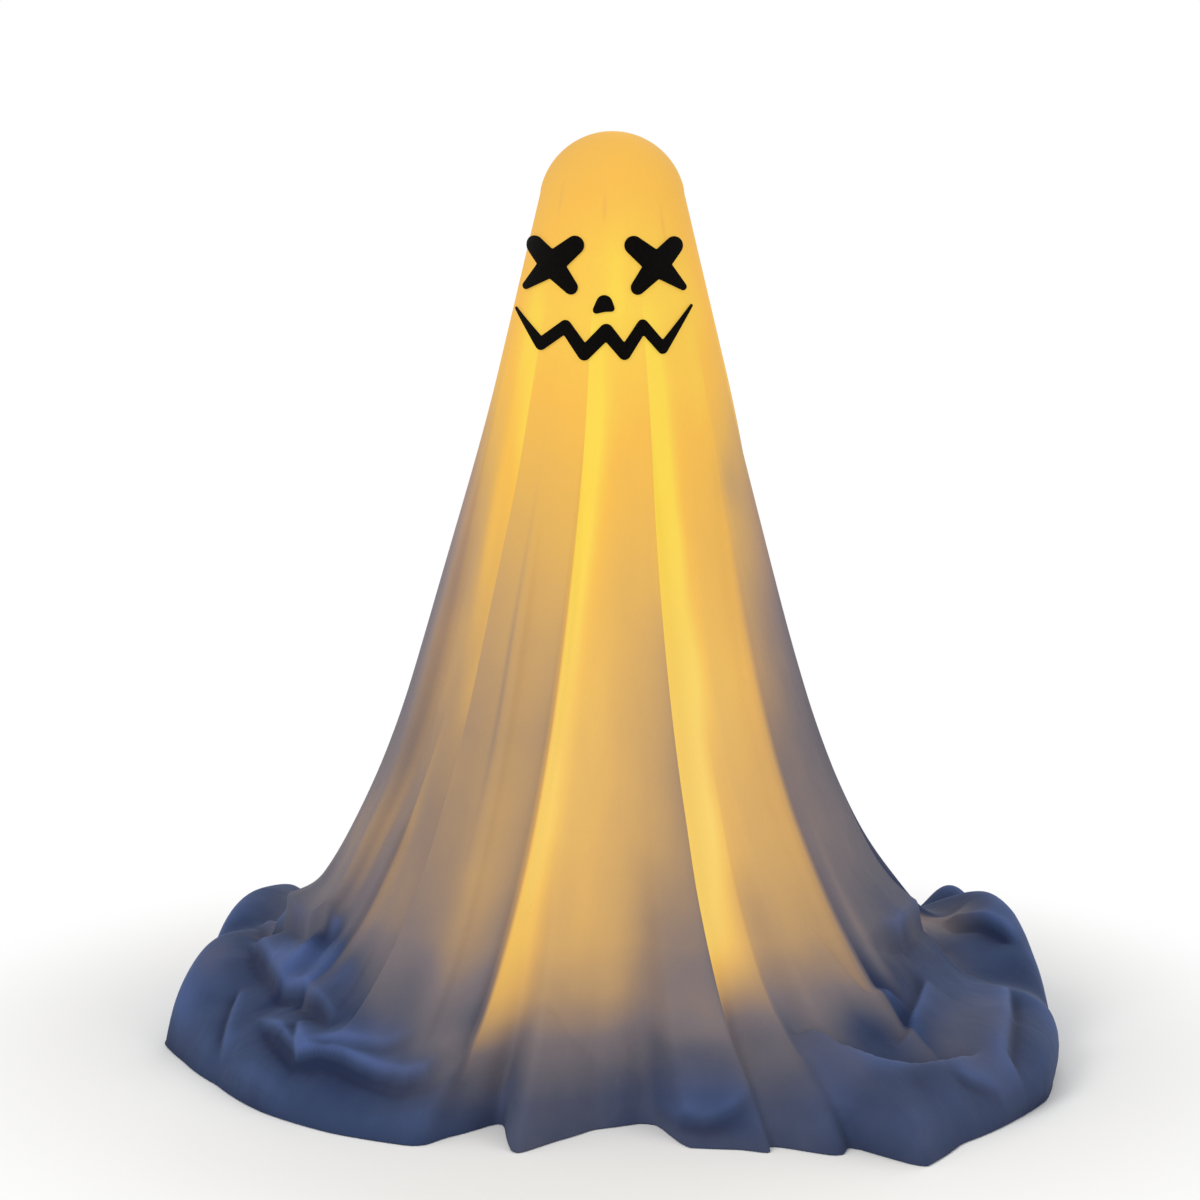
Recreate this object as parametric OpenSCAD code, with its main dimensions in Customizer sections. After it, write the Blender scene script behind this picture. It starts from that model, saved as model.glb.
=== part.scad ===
// Lighted cloth ghost for a floor or a porch: a sheer shroud with a felt face, hung over a lamp stand.
// Millimetres, +Z up. The origin is on the floor, on the axis of the pole.
// The face looks along -Y, and +X is on the viewer's right.
// Angles round the ghost start at the front and grow towards the viewer's right.

/* [Shroud] */
// Height of the crown above the floor
ghost_h = 760; // [720:5:840]
// Thickness of the shroud with its small folds
cloth_t = 2; // [1.6:0.1:2.6]
// Gap between the shroud and the head inside it
drape_gap = 0.3; // [0.3:0.1:0.8]
// Growth of the radius per unit of height below the head
taper = 0.238; // [0.22:0.002:0.25]
// Drop from the crown to where the folds begin
fold_drop = 200; // [198:2:230]
// Depth of the deepest folds
fold_depth = 13; // [6:0.5:16]
// Typical reach of the hem from the pole
hem_r = 362; // [340:2:380]
// Height over which the foot of the shroud spreads out to the hem
spread_h = 105; // [90:5:120]
// Draw-in of the shroud's sides half way down
waist_in = 5.5; // [0:0.5:8]
// Height of the tallest heap of cloth on the floor
pile_h = 62; // [40:1:70]
// Bulge of the heaps over the hem
roll_out = 14; // [0:1:18]
// Hang of the front, inside the plain cone
front_tuck = 26; // [0:1:36]

/* [Face] */
// Thickness of the felt
felt_t = 1.6; // [1:0.1:3]
// Gap between the felt and the shroud, filled by glue
glue_gap = 0.2; // [0.2:0.1:0.5]
// Place of the middle of the face, from the pole's axis
face_x = -4.2; // [-6:0.2:2]
// Drop from the crown to the middle of the eyes
eye_drop = 105; // [100:0.5:108]
// Distance between the middles of the eyes
eye_gap = 84.4; // [78:0.2:86]
// Width of an eye
eye_w = 50; // [44:0.5:52]
// Half the width of an eye's strokes where they cross
eye_stroke = 9.6; // [8:0.2:10.4]
// Drop from the crown to the top of the nose
nose_drop = 128; // [126:0.5:130]
// Width of the nose
nose_w = 17.2; // [14:0.2:18]
// Drop from the crown to the middle of the mouth
mouth_drop = 160; // [156:0.5:164]
// Width of the mouth, seen from the front
mouth_w = 142; // [130:1:144]

/* [Head] */
// Diameter of the head dome
head_d = 111; // [104:1:114]
// Wall of the dome
head_wall = 1.6; // [1.2:0.1:2.5]
// Length of the straight rim under the dome
head_rim = 10; // [8:0.5:14]
// Thickness of the plate under the dome
hub_t = 2.5; // [2:0.1:4]

/* [Pole] */
// Outside diameter of the tubes
pole_d = 20; // [18:0.5:22]
// Wall of the tubes
pole_wall = 1.5; // [1:0.1:2]
// Height of the collar between two tubes
collar_h = 6; // [4:0.5:10]
// Reach of a coupler into each tube
plug_l = 30; // [20:1:50]
// Depth of the sockets that hold the ends of the pole
socket_l = 28; // [24:1:34]

/* [Foot] */
// Diameter of the foot
base_d = 220; // [200:2:240]
// Height of the foot's shell
base_h = 18; // [16:0.5:24]
// Wall of the foot's shell
base_wall = 2.5; // [2:0.1:3]
// Thickness of the steel ballast
ballast_t = 8; // [5:0.5:10]
// Thickness of the bottom cover
cover_t = 2.5; // [2:0.1:3]
// Thickness of the non-slip pad
pad_t = 2; // [1.5:0.1:3]

/* [Battery case] */
// Height of the case's bottom above the foot's socket
case_lift = 24; // [16:1:40]
// Wall of the case
case_wall = 2; // [1.8:0.1:2.6]
// Space for the contacts at both ends of the cells
contact_space = 8; // [7.5:0.1:9]
// Height of the bay for the lamp driver
driver_bay = 14; // [13.5:0.5:18]
// Travel of the switch
switch_travel = 4; // [3:0.5:4]

/* [Light string] */
// Diameter of the wire
wire_d = 1.8; // [1.4:0.1:2]
// Turns of the wire on the pole
wire_turns = 12; // [8:1:16]
// Number of lamps on the wire
led_count = 14; // [8:1:16]
// Diameter of a lamp's lens
led_d = 4; // [3:0.2:5]

/* [Hidden] */
$fn = 96;

// Clearances between pieces that are pushed together, and round pieces that slide
fit = 0.15;
slide_gap = 0.25;
// Clearance between the top of the pole and the plate that sits on it
seat_gap = 0.03;

// Folds of the shroud: angle under the face, angle at the floor, share of the depth, the side that lies on top
// (1 left, -1 right), and the height where the fold dies out, as a share of the spread's height; a height below
// the floor lets it run through the hem
folds = [[-174, -175, 0.7, 1, 0.24], [-148, -149, 0.9, -1, 0.24], [-122, -121, 0.8, 1, 0.24],
         [-97, -98, 0.9, -1, 0.24], [-70, -72, 0.7, 1, 0.24], [-42, -48, 0.8, -1, 0.24], [-27, -32, 0.4, 1, 0.24],
         [-12, -26, 0.9, 1, -0.57], [17, 22.5, 1, 1, -0.57], [51, 50, 0.9, -1, 0.24], [78, 80, 0.8, 1, 0.24],
         [104, 103, 0.9, -1, 0.24], [130, 131, 0.8, 1, 0.24], [157, 158, 0.9, -1, 0.24]];
// Share of the spread's height over which a fold dies out
fold_fade = 0.57;
// Width of a fold's edge, reach of its swell, and distance of the facets' corners from the edge, in degrees
fold_edge = 0.6;
fold_reach = 13;
fold_side = 1.5;
// Corners of the hem: angle and share of the hem's reach
hem_points = [[-165, 1.028], [-136, 1.088], [-110, 1.036], [-88, 1.044], [-80, 0.997], [-60, 0.942], [-36, 0.892],
              [-29, 0.865], [-20.5, 0.693], [-13.5, 0.878], [-8, 0.757], [-2, 0.666], [6, 0.624], [8.8, 0.638],
              [12, 0.798], [29.5, 1.006], [32.6, 0.95], [36, 1.141], [44, 1.08], [64, 1.077], [88, 1.025],
              [118, 1.039], [137, 1.088], [151, 0.967], [166, 1.011], [180, 0.953]];
// Heaps of cloth on the floor: angle, share of the height and half width
pile_lumps = [[-92, 0.58, 18], [-118, 1, 22], [180, 0.9, 40], [120, 0.74, 24], [98, 0.9, 22], [64, 0.45, 14],
              [-58, 0.35, 14], [36, 0.26, 12], [-30, 0.1, 12], [-13, 0.13, 8]];
// Valleys across the heaps: angle, share of the height, half width, and turn over the spread's height
pile_dips = [[-82, 0.2, 4, 10], [-102, 0.2, 4, -21], [-136, 0.55, 6, 26], [-150, 0.5, 5, -32], [-170, 0.55, 6, 32],
             [166, 0.5, 5, -37], [146, 0.55, 6, 32], [128, 0.45, 5, -21], [112, 0.2, 4, 21], [84, 0.2, 4, -10]];
// Bulges of the heaps: angle, share of the bulge and half width
rolls = [[74, 1, 22], [150, 0.55, 40], [-150, 0.55, 40]];
// Heights of the parts of the shroud that the heaps lift most and that bulge most
pile_z = spread_h * 0.171;
roll_z = spread_h * 0.086;

// Sizes of the shroud that follow from the head: its facets clear the dome
foot_angles = sorted(concat(
    [for (f = folds) if (f[2] > 0.5) each [f[1] - fold_side, f[1] + fold_side]],
    [for (h = hem_points) h[0]]));
cloth_sides = len(foot_angles);
head_angles = [for (a = foot_angles) lookup(a, around([for (f = folds) [f[1], f[0]]], 360))];
widest_side = max([for (i = [0:cloth_sides - 1])
    head_angles[(i + 1) % cloth_sides] - head_angles[i] + (i == cloth_sides - 1 ? 360 : 0)]);
tip_polar = 90 - atan(taper);
dome_steps = 3;
head_r = head_d / 2;
crown_in_r = (head_r + drape_gap) / cos(tip_polar / dome_steps / 2) / cos(widest_side / 2);
crown_r = crown_in_r + cloth_t;
head_z = ghost_h - crown_r;
tip_r = crown_r * sin(tip_polar);
tip_z = head_z + crown_r * cos(tip_polar);
fold_z = ghost_h - fold_drop;
// Height over which the folds grow to their full depth
fold_run = fold_z * 0.446;
waist_z = ghost_h * 0.408;
waist_half = ghost_h * 0.171;
ring_shares = [1, 0.6, 0.35, 0.2, 0.115, 0.064, 0.032, 0.011, 0];

// Heights of the stand
head_rim_z = head_z - head_rim;
pole_top = head_rim_z - hub_t;
base_top = pad_t + base_h;
pole_r = pole_d / 2;
bore_r = pole_r - pole_wall;
tube_l = (pole_top - seat_gap - base_top - 2 * collar_h) / 3;
base_r = base_d / 2;
screw_ring_r = base_r * 0.72;
boss_r = 4;

// Sizes of the battery case, which stands behind the pole with its door facing away from it
cell_d = 14.2;
cell_l = 50;
cell_pitch = 15;
cell_count = 3;
rail_wall = 3.4;
bay_w = cell_count * cell_pitch;
bay_d = cell_d + 0.8;
bay_l = cell_l + contact_space;
case_w = bay_w + 2 * rail_wall;
case_y = pole_r + 5;
case_floor = 2.4;
case_z = base_top + socket_l + case_lift;
bay_z = case_z + case_floor;
driver_z = bay_z + bay_l + case_wall;
case_top = driver_z + driver_bay + case_floor;
bay_y = case_y + case_wall;
door_y = bay_y + bay_d;
door_t = 1.8;
door_slot = door_t + 2 * slide_gap;
door_w = bay_w + 2 * 1.4;
rail_lip = 1.4;
case_d = case_wall + bay_d + door_slot + rail_lip;
contact_t = 0.5;
spring_l = contact_space - 1 - 2 * contact_t;
clip_h = 24;
clip_z = bay_z + bay_l / 2;
clip_screw_r = 1.2;

// Sizes of the lamp driver and its switch
board_t = 1.2;
switch_y = bay_y + board_t + 3;
switch_z = driver_z + driver_bay / 2;
switch_stem = 4;
switch_slot = switch_stem + switch_travel + 2 * slide_gap;

// Route of the light wire: up from the case, in to the pole, then round it
wire_r = wire_d / 2;
grommet_y = case_y + 6;
winding_r = pole_r + wire_r + 0.4;
wire_from_z = case_top - 7;
winding_z = case_top + 8;
winding_top = pole_top - socket_l - 10;
wire_ease = 0.06;
turn_rings = 24;
wire_steps = wire_turns * turn_rings;
led_share = [for (i = [0:led_count - 1]) 0.1 + 0.87 * i / (led_count - 1)];
holder_l = 6;
lens_l = 3.5;

// Plain helpers
function total(v) = v * [for (x = v) 1];
function wrap(a) = a - 360 * round(a / 360);
function ramp(x) = let(c = min(1, max(0, x))) c * c * (3 - 2 * c);
function bell(a, middle, half) = exp(-pow(wrap(a - middle) / half, 2));
function soft_sign(x) = x / sqrt(1 + x * x);
function unit(v) = v / norm(v);
function sorted(v) = len(v) < 2 ? v : concat(
    sorted([for (x = v) if (x < v[0]) x]), [v[0]], sorted([for (x = v) if (x > v[0]) x]));
function polar(r, a, z) = [r * sin(a), -r * cos(a), z];

// A table round the ghost with its last row put before it and its first row after it
function around(table, turn) = let(last = len(table) - 1)
    concat([table[last] - [360, turn]], table, [table[0] + [360, turn]]);

// Outside of the shroud at an angle and at a height before the heaps lift it
function cone_r(z) = tip_r + taper * (tip_z - z);
function hem_at(a) = hem_r * lookup(wrap(a), around(hem_points, 0));
function heap(z, peak) = let(q = max(0, z - cloth_t) / peak) q * exp(1 - q);
function pile_at(a, z) = pile_h * total([for (p = pile_lumps) p[1] * bell(a, p[0], p[2])])
    * (1 - total([for (d = pile_dips) d[1] * bell(a - d[3] * (z - pile_z) / spread_h, d[0], d[2])]));
function roll_at(a) = roll_out * total([for (p = rolls) p[1] * bell(a, p[0], p[2])]);
function spread(z) = exp(-z / spread_h) - exp(-fold_z / spread_h);
function edge_at(f, z) = f[1] + (f[0] - f[1]) * ramp(z / fold_z);
function fold_at(a, z) = fold_depth * ramp((fold_z - z) / fold_run)
    * total([for (f = folds) let(d = wrap(a - edge_at(f, z)), kept = ramp((z / spread_h - f[4]) / fold_fade))
             -f[3] * f[2] * kept * soft_sign(d / fold_edge) * exp(-abs(d) / fold_reach)]);
function tuck_at(a, z) = front_tuck * bell(a, 0, 42) * ramp((fold_z - z) / fold_z);
function waist_at(z) = waist_in * exp(-pow((z - waist_z) / waist_half, 2));
function shroud_r(a, z) = cone_r(z) + (hem_at(a) - cone_r(0) + tuck_at(a, 0)) * spread(z)
    + fold_at(a, z) - tuck_at(a, z) - waist_at(z) + roll_at(a) * heap(z, roll_z);
function shroud_lift(a, z) = z + pile_at(a, z) * heap(z, pile_z);
function flank(z) = taper + (hem_r - cone_r(0)) / spread_h * exp(-z / spread_h);

// Rings of the shroud: the outside from the crown to the hem, then the inside back to the crown.
// Their corners follow the edges of the folds down to the corners of the hem.
function ring_angles(z) = let(edges = around([for (f = folds) [f[1], edge_at(f, z)]], 360))
    [for (a = foot_angles) lookup(a, edges)];
ring_heights = [for (share = ring_shares) cloth_t + (fold_z - cloth_t) * share];
function dome_ring(r, step) = let(p = tip_polar * step / dome_steps)
    [for (a = head_angles) polar(r * sin(p), a, head_z + r * cos(p))];
function outer_ring(z) = [for (a = ring_angles(z)) polar(shroud_r(a, z), a, shroud_lift(a, z))];
function inner_ring(z) = let(n = unit([1, flank(z)]))
    [for (a = ring_angles(z))
        polar(shroud_r(a, z) - cloth_t * n[0], a, max(cloth_t * 0.3, shroud_lift(a, z) - cloth_t * n[1]))];
hem_ring = [for (a = foot_angles) polar(shroud_r(a, cloth_t) - cloth_t, a, 0)];
lower_count = len(ring_heights);
shroud_rings = concat(
    [for (i = [1:dome_steps]) dome_ring(crown_r, i)],
    [for (z = ring_heights) outer_ring(z)],
    [hem_ring],
    [for (i = [lower_count - 2:-1:0]) inner_ring(ring_heights[i])],
    [for (i = [dome_steps:-1:1]) dome_ring(crown_in_r, i)]);

// Rings of a round tube along a path, with one corner of each ring turned towards a given direction
function tube_rings(path, facing, r, sides = 6) = let(last = len(path) - 1)
    [for (i = [0:last])
        let(t = unit(path[min(last, i + 1)] - path[max(0, i - 1)]),
            u = unit(facing[i] - t * (facing[i] * t)),
            v = cross(u, t))
        [for (j = [0:sides - 1]) path[i] + r * (u * cos(360 * j / sides) + v * sin(360 * j / sides))]];

// The wire turns at an even rate between its two straight ends
function eased(s) = let(e = wire_ease)
    s < e ? s * s / (2 * e * (1 - e))
    : s > 1 - e ? 1 - (1 - s) * (1 - s) / (2 * e * (1 - e))
    : (s - e / 2) / (1 - e);
function wire_angle(s) = 180 + 360 * wire_turns * eased(s);
function wire_reach(s) = winding_r + (grommet_y - winding_r) * (1 - ramp(s / wire_ease));
function wire_height(s) = winding_z + (winding_top - winding_z) * s;
function wire_at(s) = polar(wire_reach(s), wire_angle(s), wire_height(s));
wire_path = concat(
    [for (z = [wire_from_z, case_top, winding_z - 2]) polar(grommet_y, 180, z)],
    [for (i = [0:wire_steps]) wire_at(i / wire_steps)],
    [wire_at(1) + [0, 0, wire_d], wire_at(1) + [0, 0, 2 * wire_d]]);
wire_facing = [for (p = wire_path) [p[0], p[1], 0]];
wire_gap = min([for (i = [0:4:wire_steps]) for (j = [i + turn_rings / 2:2:min(wire_steps, i + 2 * turn_rings)])
                norm(wire_at(i / wire_steps) - wire_at(j / wire_steps))]) - wire_d;
echo("least gap between the turns of the light wire", wire_gap);

// A conical contact spring, from its plate to the cell
spring_wire = 0.8;
spring_curls = 3;
spring_path = [for (i = [0:spring_curls * 8])
    let(s = i / (spring_curls * 8)) polar(5.2 - 1.8 * s, 45 * i, (spring_l - spring_wire - 0.4) * s)];
spring_gap = min([for (i = [0:spring_curls * 8 - 6]) for (j = [i + 5:spring_curls * 8])
                  norm(spring_path[i] - spring_path[j])]) - spring_wire;
echo("least gap between the curls of a contact spring", spring_gap);

// A closed skin over a chain of rings, with a point at each end; after the turn its facets are split the other way
module loft(start, rings, finish, turn = 1e6) {
    n = len(rings[0]);
    count = len(rings);
    points = concat([start], [for (r = rings) each r], [finish]);
    function at(i, j) = 1 + i * n + j % n;
    faces = concat(
        [for (j = [0:n - 1]) [0, at(0, j + 1), at(0, j)]],
        [for (i = [0:count - 2]) for (j = [0:n - 1]) each
            let(a = at(i, j), b = at(i, j + 1), c = at(i + 1, j + 1), d = at(i + 1, j))
            i < turn ? [[a, b, c], [a, c, d]] : [[a, b, d], [b, c, d]]],
        [for (j = [0:n - 1]) [at(count - 1, j), at(count - 1, j + 1), count * n + 1]]);
    polyhedron(points, faces, convexity = 10);
}

// A ring-shaped wall
module sleeve(outer, inner, h) {
    difference() {
        cylinder(h = h, r = outer);
        translate([0, 0, -1]) cylinder(h = h + 2, r = inner);
    }
}

// A triangular rib that stands on the XY plane and leans on a post at the origin
module rib(from_r, to_r, h, t) {
    rotate([90, 0, 0]) translate([0, 0, -t / 2]) linear_extrude(height = t)
        polygon([[from_r, 0], [to_r, 0], [from_r, h]]);
}

// The solid cone inside the smooth band of the shroud that carries the face
module face_cone(skin) {
    translate([0, 0, fold_z])
        cylinder(h = tip_z - fold_z, r1 = cone_r(fold_z) + skin, r2 = cone_r(tip_z) + skin);
}

// A felt patch: an outline seen from the front, laid on the shroud
module felt_patch(x, drop) {
    intersection() {
        translate([x, 0, ghost_h - drop]) rotate([90, 0, 0])
            linear_extrude(height = cone_r(fold_z) * 1.2) children();
        difference() {
            face_cone(glue_gap + felt_t);
            face_cone(glue_gap);
        }
    }
}

// A stroke round two circles, each given by its middle and radius
module stroke(from, to) {
    hull() {
        translate([from[0], from[1]]) circle(from[2], $fn = 24);
        translate([to[0], to[1]]) circle(to[2], $fn = 24);
    }
}

// Outline of the eye on the viewer's right: strokes from its middle to its tips
module eye_outline() {
    for (tip = [[0.27, 0.29, 0.78], [-0.378, 0.308, 0.78], [-0.312, -0.352, 0.6], [0.42, -0.36, 0.3]])
        stroke([0, 0, eye_stroke], [eye_w * tip[0], eye_w * tip[1], eye_stroke * tip[2]]);
}

// Outline of the nose, hung from its top
module nose_outline() {
    for (foot = [[-0.37, -0.7, 0.165], [0.325, -0.62, 0.155]])
        stroke(nose_w * [0, -0.4, 0.385], nose_w * foot);
}

// Outline of the mouth: strokes between bends, each given by its place and radius in shares of the width
module mouth_outline() {
    bends = [[-0.5, 0.131, 0.009], [-0.357, -0.054, 0.034], [-0.217, 0.049, 0.035], [-0.112, -0.098, 0.039],
             [0.011, 0.025, 0.041], [0.113, -0.097, 0.036], [0.214, 0.056, 0.033], [0.327, -0.073, 0.031],
             [0.491, 0.155, 0.009]];
    for (i = [1:len(bends) - 1])
        stroke(mouth_w * bends[i - 1], mouth_w * bends[i]);
}

module ghost_cloth() {
    color("#f3cf7a")
        loft([0, 0, head_z + crown_r], shroud_rings, [0, 0, head_z + crown_in_r], dome_steps + lower_count);
}

module right_eye() {
    color("#17140f") felt_patch(face_x + eye_gap / 2, eye_drop) eye_outline();
}

module left_eye() {
    color("#17140f") felt_patch(face_x - eye_gap / 2, eye_drop) mirror([1, 0]) eye_outline();
}

module nose() {
    color("#17140f") felt_patch(face_x, nose_drop) nose_outline();
}

module mouth() {
    color("#17140f") felt_patch(face_x, mouth_drop) mouth_outline();
}

// The upper half of a ball with a straight rim below it
module dome_solid(r, rim) {
    intersection() {
        sphere(r);
        translate([-r - 1, -r - 1, 0]) cube([2 * r + 2, 2 * r + 2, r + 1]);
    }
    translate([0, 0, -rim]) cylinder(h = rim, r = r);
}

module head_dome() {
    color("#fff3d6") translate([0, 0, head_z]) difference() {
        dome_solid(head_r, head_rim);
        dome_solid(head_r - head_wall, head_rim + 1);
    }
}

module head_hub() {
    collar_r = pole_r + 3.5;
    color("#f4efe2") translate([0, 0, head_rim_z]) {
        translate([0, 0, -hub_t]) cylinder(h = hub_t, r = head_r);
        sleeve(head_r - head_wall - fit, head_r - head_wall - fit - 2, 6);
        translate([0, 0, -hub_t - socket_l]) sleeve(collar_r, pole_r + fit, socket_l);
        for (a = [0:60:300])
            rotate([180, 0, a]) translate([0, 0, hub_t]) rib(collar_r - 0.5, head_r - 8, 18, 2);
    }
}

// One tube of the pole, counted from the foot
module pole_tube(i) {
    color("#e8e6e0") translate([0, 0, base_top + i * (tube_l + collar_h)]) sleeve(pole_r, bore_r, tube_l);
}

module upper_tube() {
    pole_tube(2);
}

module middle_tube() {
    pole_tube(1);
}

module lower_tube() {
    pole_tube(0);
}

module tube_couplers() {
    color("#d9d6cd") for (i = [1, 2])
        translate([0, 0, base_top + i * tube_l + (i - 1) * collar_h]) {
            cylinder(h = collar_h, r = pole_r);
            translate([0, 0, -plug_l]) sleeve(bore_r - fit, bore_r - fit - 2, plug_l);
            translate([0, 0, collar_h]) sleeve(bore_r - fit, bore_r - fit - 2, plug_l);
        }
}

// Places its children at the four screws of the foot
module at_base_screws() {
    for (a = [45:90:315])
        rotate(a) translate([screw_ring_r, 0, 0]) children();
}

module base_shell() {
    edge = base_h * 0.6;
    collar_r = pole_r + 4;
    outline = concat([[0, 0], [base_r, 0]],
        [for (a = [0:15:90]) [base_r - edge + edge * cos(a), base_h - edge + edge * sin(a)]],
        [[0, base_h]]);
    color("#f1ede4") difference() {
        union() {
            difference() {
                translate([0, 0, pad_t]) rotate_extrude() polygon(outline);
                translate([0, 0, pad_t - 1])
                    cylinder(h = base_h - edge + 1, r = base_r - base_wall);
                translate([0, 0, pad_t + base_h - edge - 0.5])
                    cylinder(h = edge - base_wall + 0.5, r = base_r - edge);
            }
            translate([0, 0, base_top]) cylinder(h = socket_l, r = collar_r);
            for (a = [0:90:270])
                rotate(a) translate([0, 0, base_top]) rib(collar_r - 0.5, base_r * 0.6, socket_l - 4, 3);
            at_base_screws() translate([0, 0, pad_t + cover_t])
                cylinder(h = base_h - cover_t - base_wall + 0.5, r = boss_r);
        }
        translate([0, 0, base_top]) cylinder(h = socket_l + 1, r = pole_r + fit);
        at_base_screws() translate([0, 0, pad_t]) cylinder(h = 12, r = 1.3);
    }
}

module ballast_disc() {
    color("#7d8084") translate([0, 0, pad_t + cover_t]) difference() {
        cylinder(h = min(ballast_t, base_h - cover_t - base_wall - 0.5), r = base_r - base_h * 0.6 - 1.5);
        at_base_screws() translate([0, 0, -1]) cylinder(h = ballast_t + 2, r = boss_r + 0.6);
    }
}

module base_cover() {
    color("#dedad0") difference() {
        translate([0, 0, pad_t]) cylinder(h = cover_t, r = base_r - base_wall - fit);
        at_base_screws() {
            translate([0, 0, pad_t - 1]) cylinder(h = 2.3, r = 3);
            translate([0, 0, pad_t]) cylinder(h = cover_t + 1, r = 1.5);
        }
    }
}

module cover_screws() {
    color("silver") at_base_screws() translate([0, 0, pad_t + 0.1]) {
        cylinder(h = 1.1, r = 2.8);
        translate([0, 0, 1]) cylinder(h = 9.5, r = 1.2);
    }
}

module non_slip_pad() {
    color("#3a3a3c") cylinder(h = pad_t, r = base_r - 3);
}

module pole_clip() {
    ring_r = pole_r + 3;
    color("#e9e5da") translate([0, 0, clip_z - clip_h / 2]) difference() {
        union() {
            cylinder(h = clip_h, r = ring_r);
            translate([-14, pole_r, 0]) cube([28, case_y - pole_r, clip_h]);
        }
        translate([0, 0, -1]) cylinder(h = clip_h + 2, r = pole_r + fit);
        translate([-pole_r * 0.8, -ring_r - 1, -1]) cube([pole_r * 1.6, ring_r - 1, clip_h + 2]);
        for (x = [-cell_pitch / 2, cell_pitch / 2])
            translate([x, case_y + 1, clip_h / 2]) rotate([90, 0, 0])
                cylinder(h = 4.6, r = clip_screw_r + 0.05);
    }
}

module clip_screws() {
    color("silver") for (x = [-cell_pitch / 2, cell_pitch / 2])
        translate([x, bay_y, clip_z]) {
            rotate([-90, 0, 0]) cylinder(h = 1.4, r = 2.4);
            rotate([90, 0, 0]) cylinder(h = case_wall + 3, r = clip_screw_r);
        }
}

module battery_case() {
    slot_w = door_w + 2 * slide_gap;
    color("#26272a") difference() {
        translate([-case_w / 2, case_y, case_z]) cube([case_w, case_d, case_top - case_z]);
        translate([-bay_w / 2, bay_y, bay_z]) cube([bay_w, case_d, bay_l]);
        translate([-bay_w / 2, bay_y, driver_z]) cube([bay_w, case_d, driver_bay]);
        translate([-slot_w / 2, door_y, bay_z]) cube([slot_w, door_slot, case_top]);
        translate([-bay_w / 2, door_y, bay_z]) cube([bay_w, case_d, case_top]);
        for (x = [-cell_pitch / 2, cell_pitch / 2])
            translate([x, bay_y + 1, clip_z]) rotate([90, 0, 0]) cylinder(h = case_wall + 2, r = 1.5);
        translate([0, grommet_y, case_top - case_floor - 1]) cylinder(h = case_floor + 2, r = 2.6);
        translate([bay_w / 2 - 1, switch_y - 1.5 - slide_gap, switch_z - switch_slot / 2])
            cube([rail_wall + 2, 3 + 2 * slide_gap, switch_slot]);
    }
}

module battery_door() {
    color("#2e2f33") {
        translate([-door_w / 2, door_y + slide_gap, bay_z + slide_gap])
            cube([door_w, door_t, case_top - bay_z - slide_gap]);
        for (i = [0:4])
            translate([-9, door_y + slide_gap + door_t - 0.1, case_top - 24 + 4 * i]) cube([18, 1.1, 1.4]);
    }
}

// Places its children at the middle of each cell's bay, every second one upside down
module at_cells() {
    for (i = [0:cell_count - 1])
        translate([(i - 1) * cell_pitch, bay_y + bay_d / 2, bay_z + bay_l / 2])
            mirror([0, 0, i % 2]) children();
}

module battery_cells() {
    color("#b98b3c") at_cells() translate([0, 0, contact_space / 2 - 1 - cell_l / 2]) {
        cylinder(h = cell_l - 1.5, r = cell_d / 2);
        translate([0, 0, cell_l - 2]) cylinder(h = 2, r = 2.7);
    }
}

module contact_springs() {
    rings = tube_rings(spring_path, [for (p = spring_path) [p[0], p[1], 0]], spring_wire / 2);
    color("#c9ccd1") at_cells() translate([0, 0, -bay_l / 2 + contact_t + spring_wire / 2 + 0.2])
        loft(spring_path[0], rings, spring_path[len(spring_path) - 1]);
}

module contact_plates() {
    color("#c9ccd1") at_cells() for (z = [-bay_l / 2, bay_l / 2 - contact_t])
        translate([-6, -6, z]) cube([12, 12, contact_t]);
}

module driver_board() {
    color("#1f5c38") translate([-18, bay_y, driver_z + 1])
        cube([18 + bay_w / 2 - 0.4, board_t, driver_bay - 3.5]);
}

module switch_body() {
    body_h = 12.4;
    color("#9a9ca0") difference() {
        translate([bay_w / 2 - 6.4, bay_y + board_t, switch_z - body_h / 2]) cube([6, 5.6, body_h]);
        translate([bay_w / 2 - 3.4, switch_y - 1.5 - slide_gap, switch_z - switch_slot / 2])
            cube([4, 3 + 2 * slide_gap, switch_slot]);
    }
}

module switch_slider() {
    color("#d8d8d8") translate([bay_w / 2, switch_y, switch_z + switch_travel / 2]) {
        translate([-3, -1.5, -switch_stem / 2]) cube([rail_wall + 3.6, 3, switch_stem]);
        translate([rail_wall + 0.4, -2.4, -2.8]) cube([2.2, 4.8, 5.6]);
    }
}

module wire_grommet() {
    color("#1b1b1d") translate([0, grommet_y, case_top]) difference() {
        union() {
            cylinder(h = 1.4, r = 3.8);
            translate([0, 0, -case_floor - 0.1]) cylinder(h = case_floor + 0.2, r = 2.4);
            translate([0, 0, -case_floor - 1.1]) cylinder(h = 1, r = 3.4);
        }
        translate([0, 0, -case_floor - 2]) cylinder(h = case_floor + 5, r = wire_r + 0.2);
    }
}

module light_wire() {
    rings = tube_rings(wire_path, wire_facing, wire_r);
    color("#e7ddc3") loft(wire_path[0], rings, wire_path[len(wire_path) - 1]);
}

// Places its children on the wire's outer side at each lamp, with +Z pointing away from the pole
module at_lamps() {
    for (s = led_share)
        translate([0, 0, wire_height(s)]) rotate(wire_angle(s))
            translate([0, -wire_reach(s) - wire_r - 0.2, 0]) rotate([90, 0, 0]) children();
}

module led_holders() {
    color("#efe9da") at_lamps() {
        cylinder(h = holder_l, r = led_d / 2 + 0.3);
        cylinder(h = 1.6, r = led_d / 2 + 0.9);
    }
}

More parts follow.
